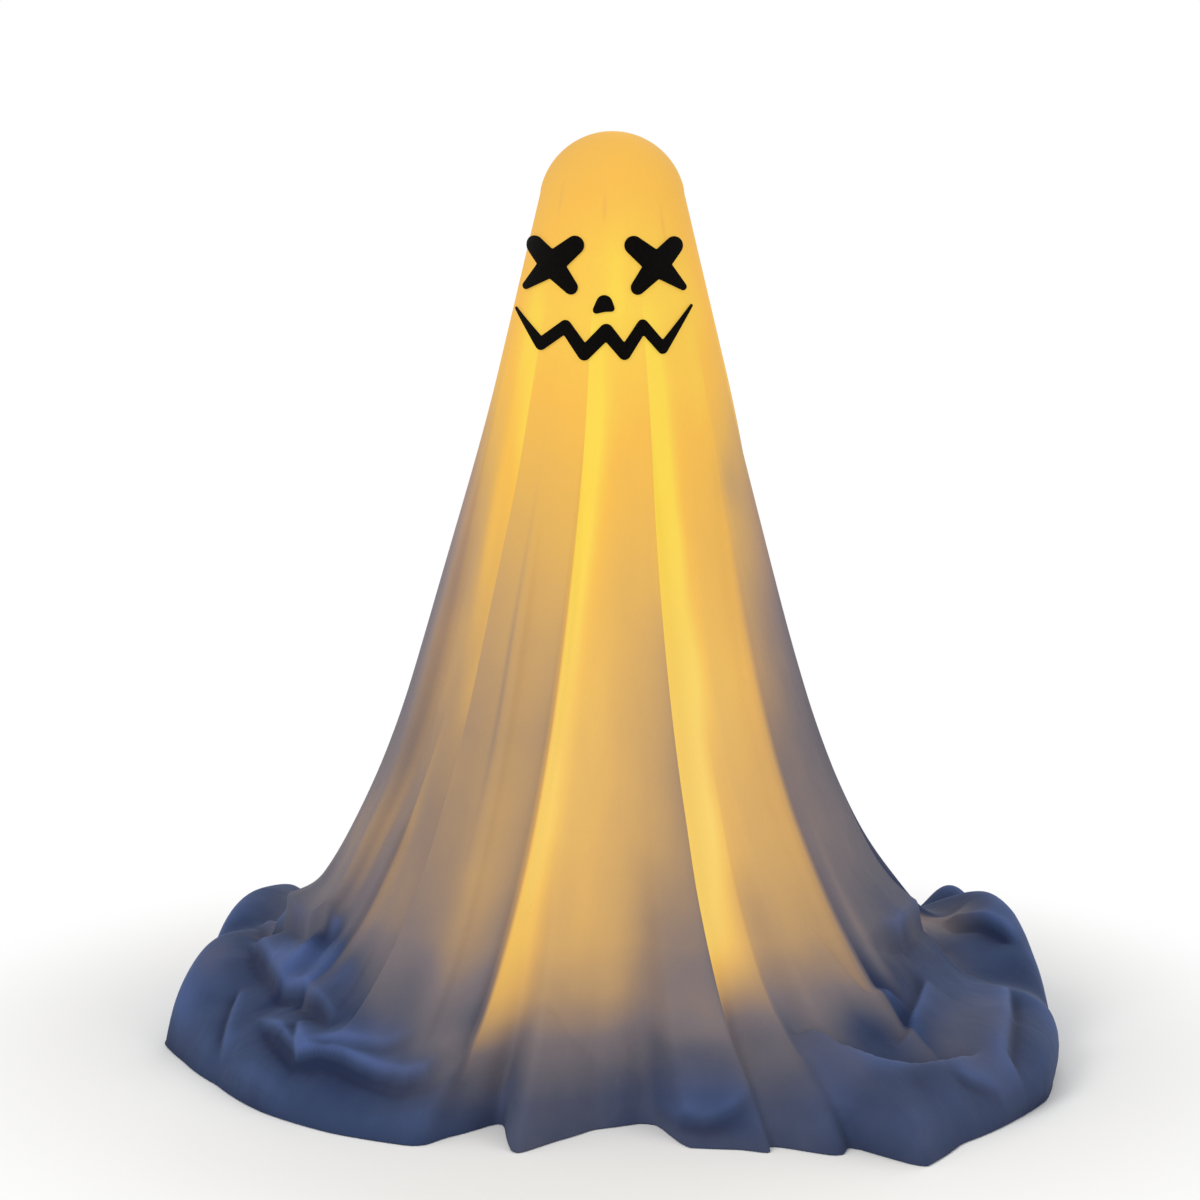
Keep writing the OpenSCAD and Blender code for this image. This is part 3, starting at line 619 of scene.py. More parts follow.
@dataclass
class ShroudForm:
    """Shape of the draped cloth, worked out from a few sizes.

    Heights are those before the heaps on the floor lift the cloth.

    Attributes:
        crown: Height of the top.
        crown_r: Radius of the round head.
        taper: Growth of the cone's radius with depth.
        fold_top: Height where the folds, the tuck and the spread begin.
        fold_depth: Full depth of a fold.
        fold_edge: Width of a fold's edge, as an angle.
        fold_reach: Angle over which a fold levels out.
        fold_fade: Height over which a fold dies out at its lower end.
        hem_z: Height of the hem.
        spread_h: Height over which the spread to the hem grows.
        pile_z: Height above the hem where the heaps are highest.
        front_tuck: How far the front hangs inside the cone, at the floor.
        tuck_half: Half angle of that front.
        waist: How far the cloth draws in half way up.
        waist_z: Height of this waist.
        waist_half: Half its height.
        lean: How far the head leans to the right.
        lean_from: Height where the lean begins.
        lean_run: Height over which it grows.
        folds: The long folds.
        hem_reach: Angles with the reach of the hem from the pole.
        hem_blur: Angle over which this reach is evened out.
        pile_lumps: Angle, height and half angle of each heap.
        pile_dips: Angle, depth share, half angle and slant of each valley between heaps.
        rolls: Angle, reach and half angle of each bulge over the hem.
        roll_z: Height above the hem where the bulges reach out most.
        swells: Slight swells of the skirt.
        rucks: The lips in the cloth on the floor.
        ruck_top: Height up to which they are full.
        ruck_fade: Height over which they then fade.
        wrinkle_h: Height of the random wrinkles.
        wrinkle: Their size.
        wrinkle_layers: Scale, share and place in the noise of each layer of them.
        ridge_gain: How narrow their ridges are.
        wrinkle_top: Height up to which they are full.
        wrinkle_fade: Height over which they then fade.
        hem_flat: Height above the hem over which rucks and wrinkles grow from nothing.
        floor_gap: Least height over the floor.
        column_step: Angle between mesh columns.
        edge_columns: Angles of the closer columns beside a fold's edge.
    """
    crown: float = 760.0
    crown_r: float = 59.73
    taper: float = 0.238
    fold_top: float = 560.0
    fold_depth: float = 13.0
    fold_edge: float = 0.6
    fold_reach: float = 13.0
    fold_fade: float = 60.0
    hem_z: float = 2.0
    spread_h: float = 105.0
    pile_z: float = 18.0
    front_tuck: float = 26.0
    tuck_half: float = 42.0
    waist: float = 5.5
    waist_z: float = 310.0
    waist_half: float = 130.0
    lean: float = 2.4
    lean_from: float = 330.0
    lean_run: float = 250.0
    folds: tuple[Fold, ...] = (
        Fold(-57, -65, 0.45, 1, 0.12, 4, 0.1, 4, 240, 60),
        Fold(-42, -48, 0.8, -1, 0.17, 7, 0.05, 12, unlit=260),
        Fold(-27, -32, 0.4, 1, 0.0, 8, 0.0, 5, 500, 150),
        Fold(-12, -26, 0.9, 1, 0.4, 7, 0.14, 9, end=-60),
        Fold(17, 22.5, 1.0, 1, 0.44, 8, 0.26, 9, end=-60, unlit=65),
        Fold(33, 31, 0.45, -1, 0.1, 5, 0.1, 5, 230, 60),
        Fold(51, 50, 0.9, -1, 0.06, 12, 0.28, 22),
        Fold(78, 80, 0.8, 1),
        Fold(104, 103, 0.9, -1),
        Fold(130, 131, 0.8, 1, 0.22, 9),
        Fold(157, 158, 0.9, -1, 0.2, 8),
        Fold(-174, -175, 0.7, 1, 0.24, 9),
        Fold(-148, -149, 0.9, -1, 0.2, 8),
        Fold(-122, -121, 0.8, 1, 0.18, 9),
        Fold(-97, -98, 0.9, -1),
        Fold(-70, -72, 0.7, 1, 0.05, 8, 0.0),
    )
    hem_reach: tuple[Spot, ...] = (
        (-180, 345), (-165, 372), (-150, 352), (-135, 394), (-118, 384), (-102, 366), (-88, 378), (-80, 361),
        (-68, 344), (-54, 339), (-40, 328), (-28, 312), (-25, 299), (-21, 250), (-19, 256), (-13.5, 318),
        (-9, 280), (-3, 244), (6, 226), (9.4, 232), (11, 288), (19, 300), (25, 330), (29.5, 364), (33, 342),
        (34.6, 417), (44, 391), (55, 389), (64, 390), (72, 381), (84, 371), (98, 372), (112, 372),
        (136, 394), (152, 350), (166, 366), (180, 345))
    hem_blur: float = 0.8
    pile_lumps: tuple[Lump, ...] = (
        (-92, 36, 18), (-118, 62, 22), (180, 56, 40), (120, 46, 24), (98, 56, 22), (64, 28, 14),
        (-58, 22, 14), (36, 16, 12), (-30, 6, 12), (-13, 8, 8))
    pile_dips: tuple[tuple[float, float, float, float], ...] = (
        (-82, 0.2, 4, 0.1), (-102, 0.2, 4, -0.2), (-136, 0.55, 6, 0.25), (-150, 0.5, 5, -0.3),
        (-170, 0.55, 6, 0.3), (166, 0.5, 5, -0.35), (146, 0.55, 6, 0.3), (128, 0.45, 5, -0.2),
        (112, 0.2, 4, 0.2), (84, 0.2, 4, -0.1))
    rolls: tuple[Lump, ...] = ((74, 14, 22), (150, 8, 40), (-150, 8, 40))
    roll_z: float = 9.0
    swells: tuple[Patch, ...] = (Patch(86, 22, 118, 34, 9), Patch(-92, 6, 114, 12, 11))
    rucks: tuple[Ruck, ...] = (
        Ruck(((-97, -219), (-140, -247), (-157, -244), (-181, -229), (-208, -208), (-246, -191),
              (-272, -138), (-285, -112)), 10, edge=4, painted_shadow=1.3, painted_shade_reach=11),
        Ruck(((-139, -226), (-176, -217), (-206, -201), (-236, -186)), 4, 10, 6, painted_shade_reach=8),
        Ruck(((-246, -192), (-249, -151)), 4, 12, 6, painted_shade_reach=10),
        Ruck(((-205, -172), (-220, -169), (-246, -115), (-269, -84), (-286, -33), (-306, 30)), 11),
        Ruck(((-315, -127), (-312, -99), (-306, -45)), 5, 16, 7, painted_shade_reach=10),
        Ruck(((-205, -88), (-218, -82), (-245, -65), (-278, 14), (-305, 86)), 10),
        Ruck(((279, 13), (233, -115), (203, -152)), 12),
        Ruck(((150, -158), (165, -160), (193, -171), (224, -179), (235, -180)), 5, 14, 8, painted_shade_reach=14),
        Ruck(((223, -214), (233, -195), (243, -169), (253, -132)), 6, 12, 9, painted_shade_reach=14),
        Ruck(((135, -222), (155, -230), (179, -252), (207, -251), (241, -236), (267, -219),
              (290, -200)), 11),
        Ruck(((318, -236), (301, -228), (277, -236), (262, -236)), 5, 14, 6, painted_shade_reach=10),
        Ruck(((329, -71), (320, -150), (311, -198), (331, -212)), 9),
        Ruck(((344, 4), (308, 36), (285, 52)), 9),
        Ruck(((111, -268), (72, -276), (45, -263)), 4, pale=0.0, painted_shadow=0.6),
        Ruck(((-108, -234), (-70, -214), (-27, -221), (31, -209)), 2, pale=0.2, painted_shadow=0.3),
        Ruck(((-120, 330), (-40, 290), (40, 300)), 12),
        Ruck(((150, 330), (170, 260), (250, 230)), 12),
        Ruck(((-270, 260), (-200, 230), (-150, 310)), 12),
    )
    ruck_top: float = 110.0
    ruck_fade: float = 70.0
    wrinkle_h: float = 5.0
    wrinkle: float = 160.0
    wrinkle_layers: tuple[tuple[float, float, Point], ...] = (
        (1.0, 1.0, (0.0, 0.0, 3.7)), (2.1, 0.35, (5.0, 0.0, 8.1)))
    ridge_gain: float = 1.6
    wrinkle_top: float = 70.0
    wrinkle_fade: float = 60.0
    hem_flat: float = 14.0
    floor_gap: float = 0.8
    column_step: float = 0.5
    edge_columns: tuple[float, ...] = (0.0, 0.3, 0.7, 1.3, 2.0)

    @property
    def head_z(self) -> float:
        """Height of the middle of the head."""
        return self.crown - self.crown_r

    @property
    def tip_polar(self) -> float:
        """Angle from the crown down to where the cone starts, in radians."""
        return math.pi / 2 - math.atan(self.taper)

    @property
    def tip_z(self) -> float:
        """Height where the dome turns into the cone."""
        return self.head_z + self.crown_r * math.cos(self.tip_polar)

    def cone(self, z: np.ndarray) -> np.ndarray:
        """Radius of the plain cone at a height."""
        return self.crown_r * math.sin(self.tip_polar) + self.taper * (self.tip_z - z)

    def sway(self, z: np.ndarray) -> np.ndarray:
        """Sideways lean of the cloth at a height."""
        return self.lean * smooth_ramp((np.asarray(z) - self.lean_from) / self.lean_run)

    def hem(self, a: np.ndarray) -> np.ndarray:
        """Reach of the hem from the pole."""
        angles, reach = zip(*self.hem_reach)
        return sum(np.interp(wrap(a + off * self.hem_blur), angles, reach) for off in (-1, 0, 1)) / 3

    def spread(self, z: np.ndarray) -> np.ndarray:
        """Share of the spread to the hem that a height has."""
        return np.exp(-z / self.spread_h) - math.exp(-self.fold_top / self.spread_h)

    def fold_edges(self, z: float) -> np.ndarray:
        """Angles of all fold edges at a height."""
        share = float(smooth_ramp(np.asarray(z / self.fold_top)))
        return np.array([f.foot + (f.top - f.foot) * share for f in self.ordered()])

    def ordered(self) -> list[Fold]:
        """Give the folds in rising order of angle."""
        return sorted(self.folds, key=lambda fold: fold.foot)

    def columns(self) -> np.ndarray:
        """Give the angles at the floor of all mesh columns, closer together beside fold edges."""
        feet = [f.foot for f in self.ordered()]
        near = np.array(self.edge_columns)
        angles: list[float] = []
        for start, end in zip(feet, feet[1:] + [feet[0] + 360]):
            first, last = start + near[-1], end - near[-1]
            inner = np.linspace(first, last, max(4, round((last - first) / self.column_step)))
            angles += list(start + near[:-1]) + list(inner) + list(end - near[1:-1][::-1])
        return np.array(angles)

    def turned(self, u: np.ndarray, z: float) -> np.ndarray:
        """Angles at a height of the columns that stand at given angles at the floor."""
        feet = np.array([f.foot for f in self.ordered()])
        edges = self.fold_edges(z)
        return np.interp(u, np.append(feet, feet[0] + 360), np.append(edges, edges[0] + 360))

    def fold(self, a: np.ndarray, z: float) -> np.ndarray:
        """Height of the long folds over the cone."""
        swell = np.zeros(a.shape)
        for fold, edge in zip(self.ordered(), self.fold_edges(z)):
            d = wrap(a - edge) * fold.side
            grown = float(smooth_ramp(np.asarray((fold.begin - z) / fold.run)))
            grown *= float(smooth_ramp(np.asarray((z - fold.end) / self.fold_fade)))
            step = d / self.fold_edge
            reach = np.exp(-np.abs(d) / self.fold_reach)
            swell -= grown * fold.share * step / np.sqrt(1 + step ** 2) * reach
        return self.fold_depth * swell

    def tuck(self, a: np.ndarray, z: float) -> np.ndarray:
        """Hang of the front inside the plain cone."""
        share = smooth_ramp(np.asarray((self.fold_top - z) / self.fold_top))
        return self.front_tuck * bell(a, 0, self.tuck_half) * share

    def heap(self, z: float, peak: float) -> float:
        """Share of a heap or a roll that a height has, at its most a given height above the hem."""
        q = max(0.0, z - self.hem_z) / peak
        return q * math.exp(1 - q)

    def roll(self, a: np.ndarray) -> np.ndarray:
        """How far the heaps bulge out over the hem."""
        return sum(out * bell(a, at, half) for at, out, half in self.rolls)

    def pile(self, a: np.ndarray, z: float) -> np.ndarray:
        """Height of the heaps on the floor, with slanting valleys between them."""
        dips = sum(share * bell(a - slant * (z - self.pile_z), at, half)
                   for at, share, half, slant in self.pile_dips)
        return sum(height * bell(a, at, half) for at, height, half in self.pile_lumps) * (1 - dips)

    def wrinkled(self, x: np.ndarray, y: np.ndarray) -> np.ndarray:
        """Height of the random wrinkles on the floor: narrow ridges between flat hollows."""
        rise = np.zeros(x.shape)
        for scale, share, (nx, ny, nz) in self.wrinkle_layers:
            spots = zip(scale * (x / self.wrinkle) + nx, scale * (y / self.wrinkle) + ny)
            waves = np.array([noise.noise((px, py, nz)) for px, py in spots])
            rise += share * (1 - np.minimum(1.0, self.ridge_gain * np.abs(waves))) ** 2
        return self.wrinkle_h * (rise - 0.5)

    def off_hem(self, z: float) -> float:
        """Rise from 0 at the hem, which lies flat, to 1."""
        return float(smooth_ramp(np.asarray((z - self.hem_z) / self.hem_flat)))

    def ruck_share(self, z: float) -> float:
        """Share of the full rucks that a height has."""
        low = smooth_ramp(np.asarray((self.ruck_top + self.ruck_fade - z) / self.ruck_fade))
        return self.off_hem(z) * float(low)

    def ruck_painted_shade(self, ring: np.ndarray, z: float) -> np.ndarray:
        """Painted highlights on the rucks' lips and painted shadow under them, on one ring of the cloth."""
        share = self.ruck_share(z)
        if share == 0:
            return np.zeros(len(ring))
        return share * sum(ruck.tone(ring[:, 0], ring[:, 1]) for ruck in self.rucks)

    def skirt(self, u: np.ndarray, z: float) -> np.ndarray:
        """Place one ring of the cloth below the head.

        Args:
            u: Angles of the columns at the floor.
            z: Height before the heaps lift the cloth.

        Returns:
            Points, with x, y and z in the last axis.
        """
        a = self.turned(u, z)
        flare = (self.hem(a) - self.cone(0.0) + self.tuck(a, 0.0)) * self.spread(z)
        waist = self.waist * math.exp(-((z - self.waist_z) / self.waist_half) ** 2)
        r = self.cone(z) + flare + self.fold(a, z) - self.tuck(a, z) - waist
        r += self.roll(a) * self.heap(z, self.roll_z)
        r += sum(swell.at(u, z) for swell in self.swells)
        x = r * np.sin(np.radians(a)) + self.sway(z)
        y = -r * np.cos(np.radians(a))
        lift = self.heap(z, self.pile_z) * self.pile(a, z)
        rucks = self.ruck_share(z)
        if rucks > 0:
            lift += rucks * sum(ruck.rise(x, y) for ruck in self.rucks)
        low = smooth_ramp(np.asarray((self.wrinkle_top + self.wrinkle_fade - z) / self.wrinkle_fade))
        wrinkles = self.off_hem(z) * float(low)
        if wrinkles > 0:
            lift += wrinkles * self.wrinkled(x, y)
        return np.stack([x, y, np.maximum(z + lift, self.floor_gap)], axis=-1)

    def dome(self, u: np.ndarray, polar: float) -> np.ndarray:
        """Place one ring of the cloth over the head."""
        a = np.radians(self.turned(u, self.fold_top))
        r = self.crown_r * math.sin(polar)
        z = self.head_z + self.crown_r * math.cos(polar)
        return np.stack([r * np.sin(a) + self.lean, -r * np.cos(a), np.full(a.shape, z)], axis=-1)


@dataclass
class LampGlow:
    """How much of the lamp's light comes through each part of the cloth, painted in as its glow.

    Attributes:
        rise: Heights with the glow there.
        flank_loss: Heights with the painted loss of glow towards both flanks.
        side_loss: Heights with the painted loss of glow close to the outline.
        bright_side: Angle of the front's brightest line.
        side_power: How close to the outline that loss keeps.
        streak_fade: Height over which a fold's streak fades at its lower end.
        streak_lead: How far above its fold a streak begins.
        streak_run: Height over which it grows.
        double_lag: How far below the fold's start doubled cloth begins to dim.
        double_run: Height over which it dims.
        fold_edge: Width of the edge between both sides of a fold, as an angle.
        shades: Patches of painted glow that are brighter or dimmer.
        painted_shade_patches: Patches of painted highlight and painted shade on the cloth on the floor.
    """
    rise: tuple[Spot, ...] = (
        (0, 0.1), (20, 0.13), (34, 0.17), (64, 0.28), (95, 0.45), (133, 0.60), (170, 0.64), (209, 0.68),
        (293, 0.70), (383, 0.73), (474, 0.80), (566, 0.90), (620, 0.95), (660, 0.93), (700, 0.87),
        (760, 0.82))
    flank_loss: tuple[Spot, ...] = (
        (0, 0.12), (34, 0.16), (64, 0.2), (133, 0.33), (287, 0.33), (383, 0.22), (474, 0.16), (566, 0.08),
        (700, 0.04))
    side_loss: tuple[Spot, ...] = (
        (0, 0.0), (133, 0.02), (287, 0.1), (383, 0.22), (474, 0.24), (520, 0.2), (566, 0.1), (700, 0.06))
    bright_side: float = 16.0
    side_power: int = 6
    streak_fade: float = 70.0
    streak_lead: float = 80.0
    streak_run: float = 130.0
    double_lag: float = 30.0
    double_run: float = 300.0
    fold_edge: float = 0.3
    shades: tuple[Patch, ...] = (
        Patch(27.5, 4.5, 92, 32, -0.15), Patch(37, 8, 85, 55, -0.12), Patch(44.5, 6, 66, 26, -0.16),
        Patch(47, 7, 125, 35, -0.05), Patch(13, 7, 130, 65, -0.13), Patch(34, 10, 360, 110, 0.06),
        Patch(32, 4, 150, 38, -0.12), Patch(25, 4, 430, 45, 0.18), Patch(28.5, 4, 335, 55, 0.22),
        Patch(26, 3, 235, 60, 0.23), Patch(46, 11, 325, 65, 0.09), Patch(53, 1.8, 140, 55, 0.1),
        Patch(65, 8, 130, 45, -0.09), Patch(55, 9, 485, 25, -0.09), Patch(-9, 9, 230, 250, 0.11),
        Patch(-32, 5, 170, 110, 0.1), Patch(-21, 5, 220, 70, 0.06), Patch(-60, 5, 435, 90, 0.15),
        Patch(-63, 8, 90, 26, -0.13), Patch(-71, 3, 105, 22, -0.14), Patch(-22.5, 4, 25, 20, 0.08),
        Patch(15.5, 7, 40, 30, -0.07, 6), Patch(-68, 12, 145, 50, -0.04), Patch(-82, 10, 175, 40, 0.1),
        Patch(-72, 12, 330, 90, 0.06), Patch(-60, 14, 500, 90, 0.07), Patch(-59, 9, 600, 50, 0.08),
        Patch(-2, 9, 640, 30, 0.05), Patch(-16, 2.5, 700, 9, -0.09), Patch(37, 1.5, 686, 12, -0.09),
        Patch(-50, 2, 708, 12, -0.07), Patch(-90, 10, 27, 18, 0.11), Patch(103, 9, 58, 32, 0.16),
        Patch(-36, 0.9, 350, 110, -0.09), Patch(-55, 9, 300, 80, 0.09), Patch(-72.5, 1.5, 190, 60, 0.1),
        Patch(-6, 14, 42, 28, -0.015, 6), Patch(-58, 6, 145, 40, 0.08), Patch(-86, 5, 150, 30, -0.1),
        Patch(-68, 5, 330, 60, 0.08), Patch(60, 13, 35, 35, 0.045), Patch(-81, 9, 95, 18, -0.08),
        Patch(-28, 5, 58, 16, 0.09), Patch(-39, 5, 100, 22, -0.06), Patch(0, 5, 95, 28, 0.05))
    painted_shade_patches: tuple[Patch, ...] = (
        Patch(-73, 10, 90, 22, 1.2), Patch(-81, 8, 113, 8, -0.8), Patch(-57, 6, 57, 14, -0.8),
        Patch(-44, 8, 40, 14, 0.7), Patch(-39, 6, 62, 14, 0.5), Patch(-44, 12, 20, 10, -0.3),
        Patch(-88, 9, 32, 18, 0.6), Patch(15.5, 7, 40, 30, 0.3, 6), Patch(14.5, 4.5, 11, 7, -0.9),
        Patch(44, 6, 60, 20, -0.6), Patch(35, 5, 48, 10, 0.3), Patch(54, 7, 115, 22, -0.7),
        Patch(64, 12, 55, 30, 0.1), Patch(44, 5, 26, 8, -0.8), Patch(95, 8, 36, 12, -0.3),
        Patch(86, 6, 21, 12, -0.5))

    def tone(self, u: np.ndarray, z: float) -> np.ndarray:
        """Give the painted highlight, above 0, and painted shade, below 0, of the cloth on the floor."""
        return sum(patch.at(u, z) for patch in self.painted_shade_patches)

    def level(self, form: ShroudForm, u: np.ndarray, z: float) -> np.ndarray:
        """Give the painted glow of one ring of the cloth.

        Args:
            form: The cloth's shape.
            u: Angles of the columns at the floor.
            z: Height before the heaps lift the cloth.

        Returns:
            One value for each column, from 0 to 1.
        """
        a = form.turned(u, min(z, form.fold_top))
        rise = np.interp(z, *zip(*self.rise))
        loss = np.interp(z, *zip(*self.flank_loss))
        glow = rise - loss * np.sin(np.radians(a - self.bright_side)) ** 2
        glow -= np.interp(z, *zip(*self.side_loss)) * np.sin(np.radians(a)) ** self.side_power
        for fold, edge in zip(form.ordered(), form.fold_edges(min(z, form.fold_top))):
            d = wrap(a - edge) * fold.side
            fade = float(smooth_ramp(np.asarray((z - fold.unlit) / self.streak_fade)))
            lit = float(smooth_ramp(np.asarray((fold.begin + self.streak_lead - z) / self.streak_run)))
            doubled = float(smooth_ramp(np.asarray((fold.begin - self.double_lag - z) / self.double_run)))
            under = np.exp(-(d / fold.reach) ** 2) * np.clip(d / self.fold_edge, 0, 1)
            over = np.exp(-np.abs(d) / fold.dim_reach) * np.clip(-d / self.fold_edge, 0, 1)
            glow += fade * (fold.bright * lit * under - fold.dim * doubled * over)
        return np.clip(glow + sum(shade.at(u, z) for shade in self.shades), 0, 1)


@dataclass
class Shroud:
    """The sheer cloth that hangs over the head and spreads on the floor.

    Attributes:
        form: Its shape.
        glow: Its glow.
        sector: Share of a full circle that the flat cloth is cut as.
        cut_r: Radius of the flat cloth, in metres; not used.
        dome_rings: Number of mesh rings over the head.
        first_ring: Distance of the first ring from the crown, as a share of the head's radius.
        neck_drop: Drop from the last ring over the head to the first of the skirt.
        ring_steps: Heights down to which rings are a given step apart.
        hem_step: Step between the rings below them.
        hem_turn: Reach over the hem and height of each ring that turns the edge under.
        relax_run: Height over which the evening out grows.
        relax_share: How far points move towards the mean of their neighbours.
        held_rings: Number of rings at the hem that keep their places.
        hollow_steps: Rounds of averaging that give the height of a point's surroundings.
        hollow_depth: Height over these surroundings that counts as a full ridge.
    """
    form: ShroudForm
    glow: LampGlow
    sector: float = 0.5
    cut_r: float = 0.93
    dome_rings: int = 20
    first_ring: float = 0.07
    neck_drop: float = 4.0
    ring_steps: tuple[Spot, ...] = ((300, 5.0), (140, 3.5), (60, 2.2))
    hem_step: float = 1.4
    hem_turn: tuple[Spot, ...] = ((0.7, 1.3), (0.2, 0.6), (-6.0, 0.5), (-13.0, 0.7))
    relax_run: float = 60.0
    relax_share: float = 0.6
    held_rings: int = 5
    hollow_steps: int = 30
    hollow_depth: float = 8.0

    def heights(self) -> np.ndarray:
        """Give the heights of the rings below the head, from the top."""
        top = self.form.tip_z - self.neck_drop
        runs = []
        for bottom, step in (*self.ring_steps, (self.form.hem_z, self.hem_step)):
            runs.append(np.linspace(top, bottom, max(2, round((top - bottom) / step)), endpoint=False))
            top = bottom
        return np.append(np.concatenate(runs), self.form.hem_z)

    def rolled_hem(self, last: np.ndarray) -> list[np.ndarray]:
        """Turn the edge of the cloth under, from the last ring of points."""
        rings = []
        for out, z in self.hem_turn:
            r = np.hypot(last[:, 0], last[:, 1])[:, None]
            flat = last[:, :2] * (1 + out / r)
            rings.append(np.column_stack([flat, np.full(len(last), z)]))
        return rings

    def rings(self, u: np.ndarray) -> tuple[np.ndarray, list[float]]:
        """Place all rings of the cloth, from the crown to the hem.

        Args:
            u: Angles of the columns at the floor.

        Returns:
            Points by ring and column, and the height of each ring before the heaps lift it.
        """
        polars = np.linspace(self.form.tip_polar / self.dome_rings, self.form.tip_polar, self.dome_rings)
        dome = [self.form.dome(u, polar) for polar in polars]
        skirt = [self.form.skirt(u, z) for z in self.heights()]
        hem = self.rolled_hem(skirt[-1])
        heights = [ring[0, 2] for ring in dome] + list(self.heights()) + [self.form.hem_z] * len(hem)
        return self.relaxed(np.array(dome + skirt + hem)), heights

    def build(self) -> bpy.types.Object:
        """Make the mesh with its point values.

        Returns:
            The cloth.
        """
        u = self.form.columns()
        grid, heights = self.rings(u)
        glow = np.array([self.glow.level(self.form, u, z) for z in heights])
        # The HOLLOW value holds painted shade and highlights: the listed patches and the rucks' painted lips
        # and shadows are added to the ridges and hollows.
        tone = np.array([self.glow.tone(u, z) + self.form.ruck_painted_shade(ring, z)
                         for ring, z in zip(grid, heights)])
        steps = np.linalg.norm(np.diff(grid, axis=0), axis=2)
        along = np.concatenate([np.zeros((1, len(u))), np.cumsum(steps, axis=0)])
        along += self.form.crown_r * self.first_ring
        turn = np.radians(u * self.sector)
        crown = np.array([[self.form.lean, 0, self.form.crown]])
        points = np.concatenate([crown, grid.reshape(-1, 3)])
        piece = new_piece("ghost_voile", points, self.faces(*grid.shape[:2]))
        values = {
            ClothValue.GLOW: (glow[0].mean(), glow),
            ClothValue.HOLLOW: (0.0, self.hollows(grid) + tone),
            ClothValue.CUT_X: (0.0, along * np.sin(turn)),
            ClothValue.CUT_Y: (0.0, along * np.cos(turn)),
        }
        for value, (first, rest) in values.items():
            layer = piece.data.attributes.new(value.value, "FLOAT", "POINT")
            layer.data.foreach_set("value", np.append([first], rest.reshape(-1)).astype(np.float32))
        return piece

    def relaxed(self, grid: np.ndarray) -> np.ndarray:
        """Even out the cloth on the floor.

        Args:
            grid: Points by ring and column.

        Returns:
            The points, moved towards the mean of their neighbours.
        """
        low = smooth_ramp((self.form.ruck_top - self.heights()) / self.relax_run)
        share = np.zeros(len(grid))
        share[self.dome_rings:self.dome_rings + len(low)] = low
        share[self.dome_rings + len(low) - self.held_rings:] = 0
        mean = (np.roll(grid, 1, 0) + np.roll(grid, -1, 0) + np.roll(grid, 1, 1) + np.roll(grid, -1, 1)) / 4
        return grid + self.relax_share * share[:, None, None] * (mean - grid)

    def hollows(self, grid: np.ndarray) -> np.ndarray:
        """Tell ridges from hollows: each point's height over the mean of its surroundings.

        Args:
            grid: Points by ring and column.

        Returns:
            One value per point, from -1 in a hollow to 1 on a ridge.
        """
        height = grid[:, :, 2]
        mean = height.copy()
        for _ in range(self.hollow_steps):
            rows = np.vstack([mean[:1], mean, mean[-1:]])
            mean = (rows[:-2] + rows[2:] + np.roll(mean, 1, 1) + np.roll(mean, -1, 1)) / 4
        return np.clip((height - mean) / self.hollow_depth, -1, 1)

    @staticmethod
    def faces(rings: int, sides: int) -> Faces:
        """Join the crown point and the rings by faces."""
        fan = [(0, 1 + j, 1 + (j + 1) % sides) for j in range(sides)]
        quads = [(1 + i * sides + j, 1 + (i + 1) * sides + j, 1 + (i + 1) * sides + (j + 1) % sides,
                  1 + i * sides + (j + 1) % sides) for i in range(rings - 1) for j in range(sides)]
        return fan + quads

    def place(self, piece: bpy.types.Object, material: bpy.types.Material) -> None:
        """Dress the cloth and hang it on its body."""
        dress(piece, material)
        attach(piece, Body.SHROUD.value)
        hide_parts("ghost_cloth")


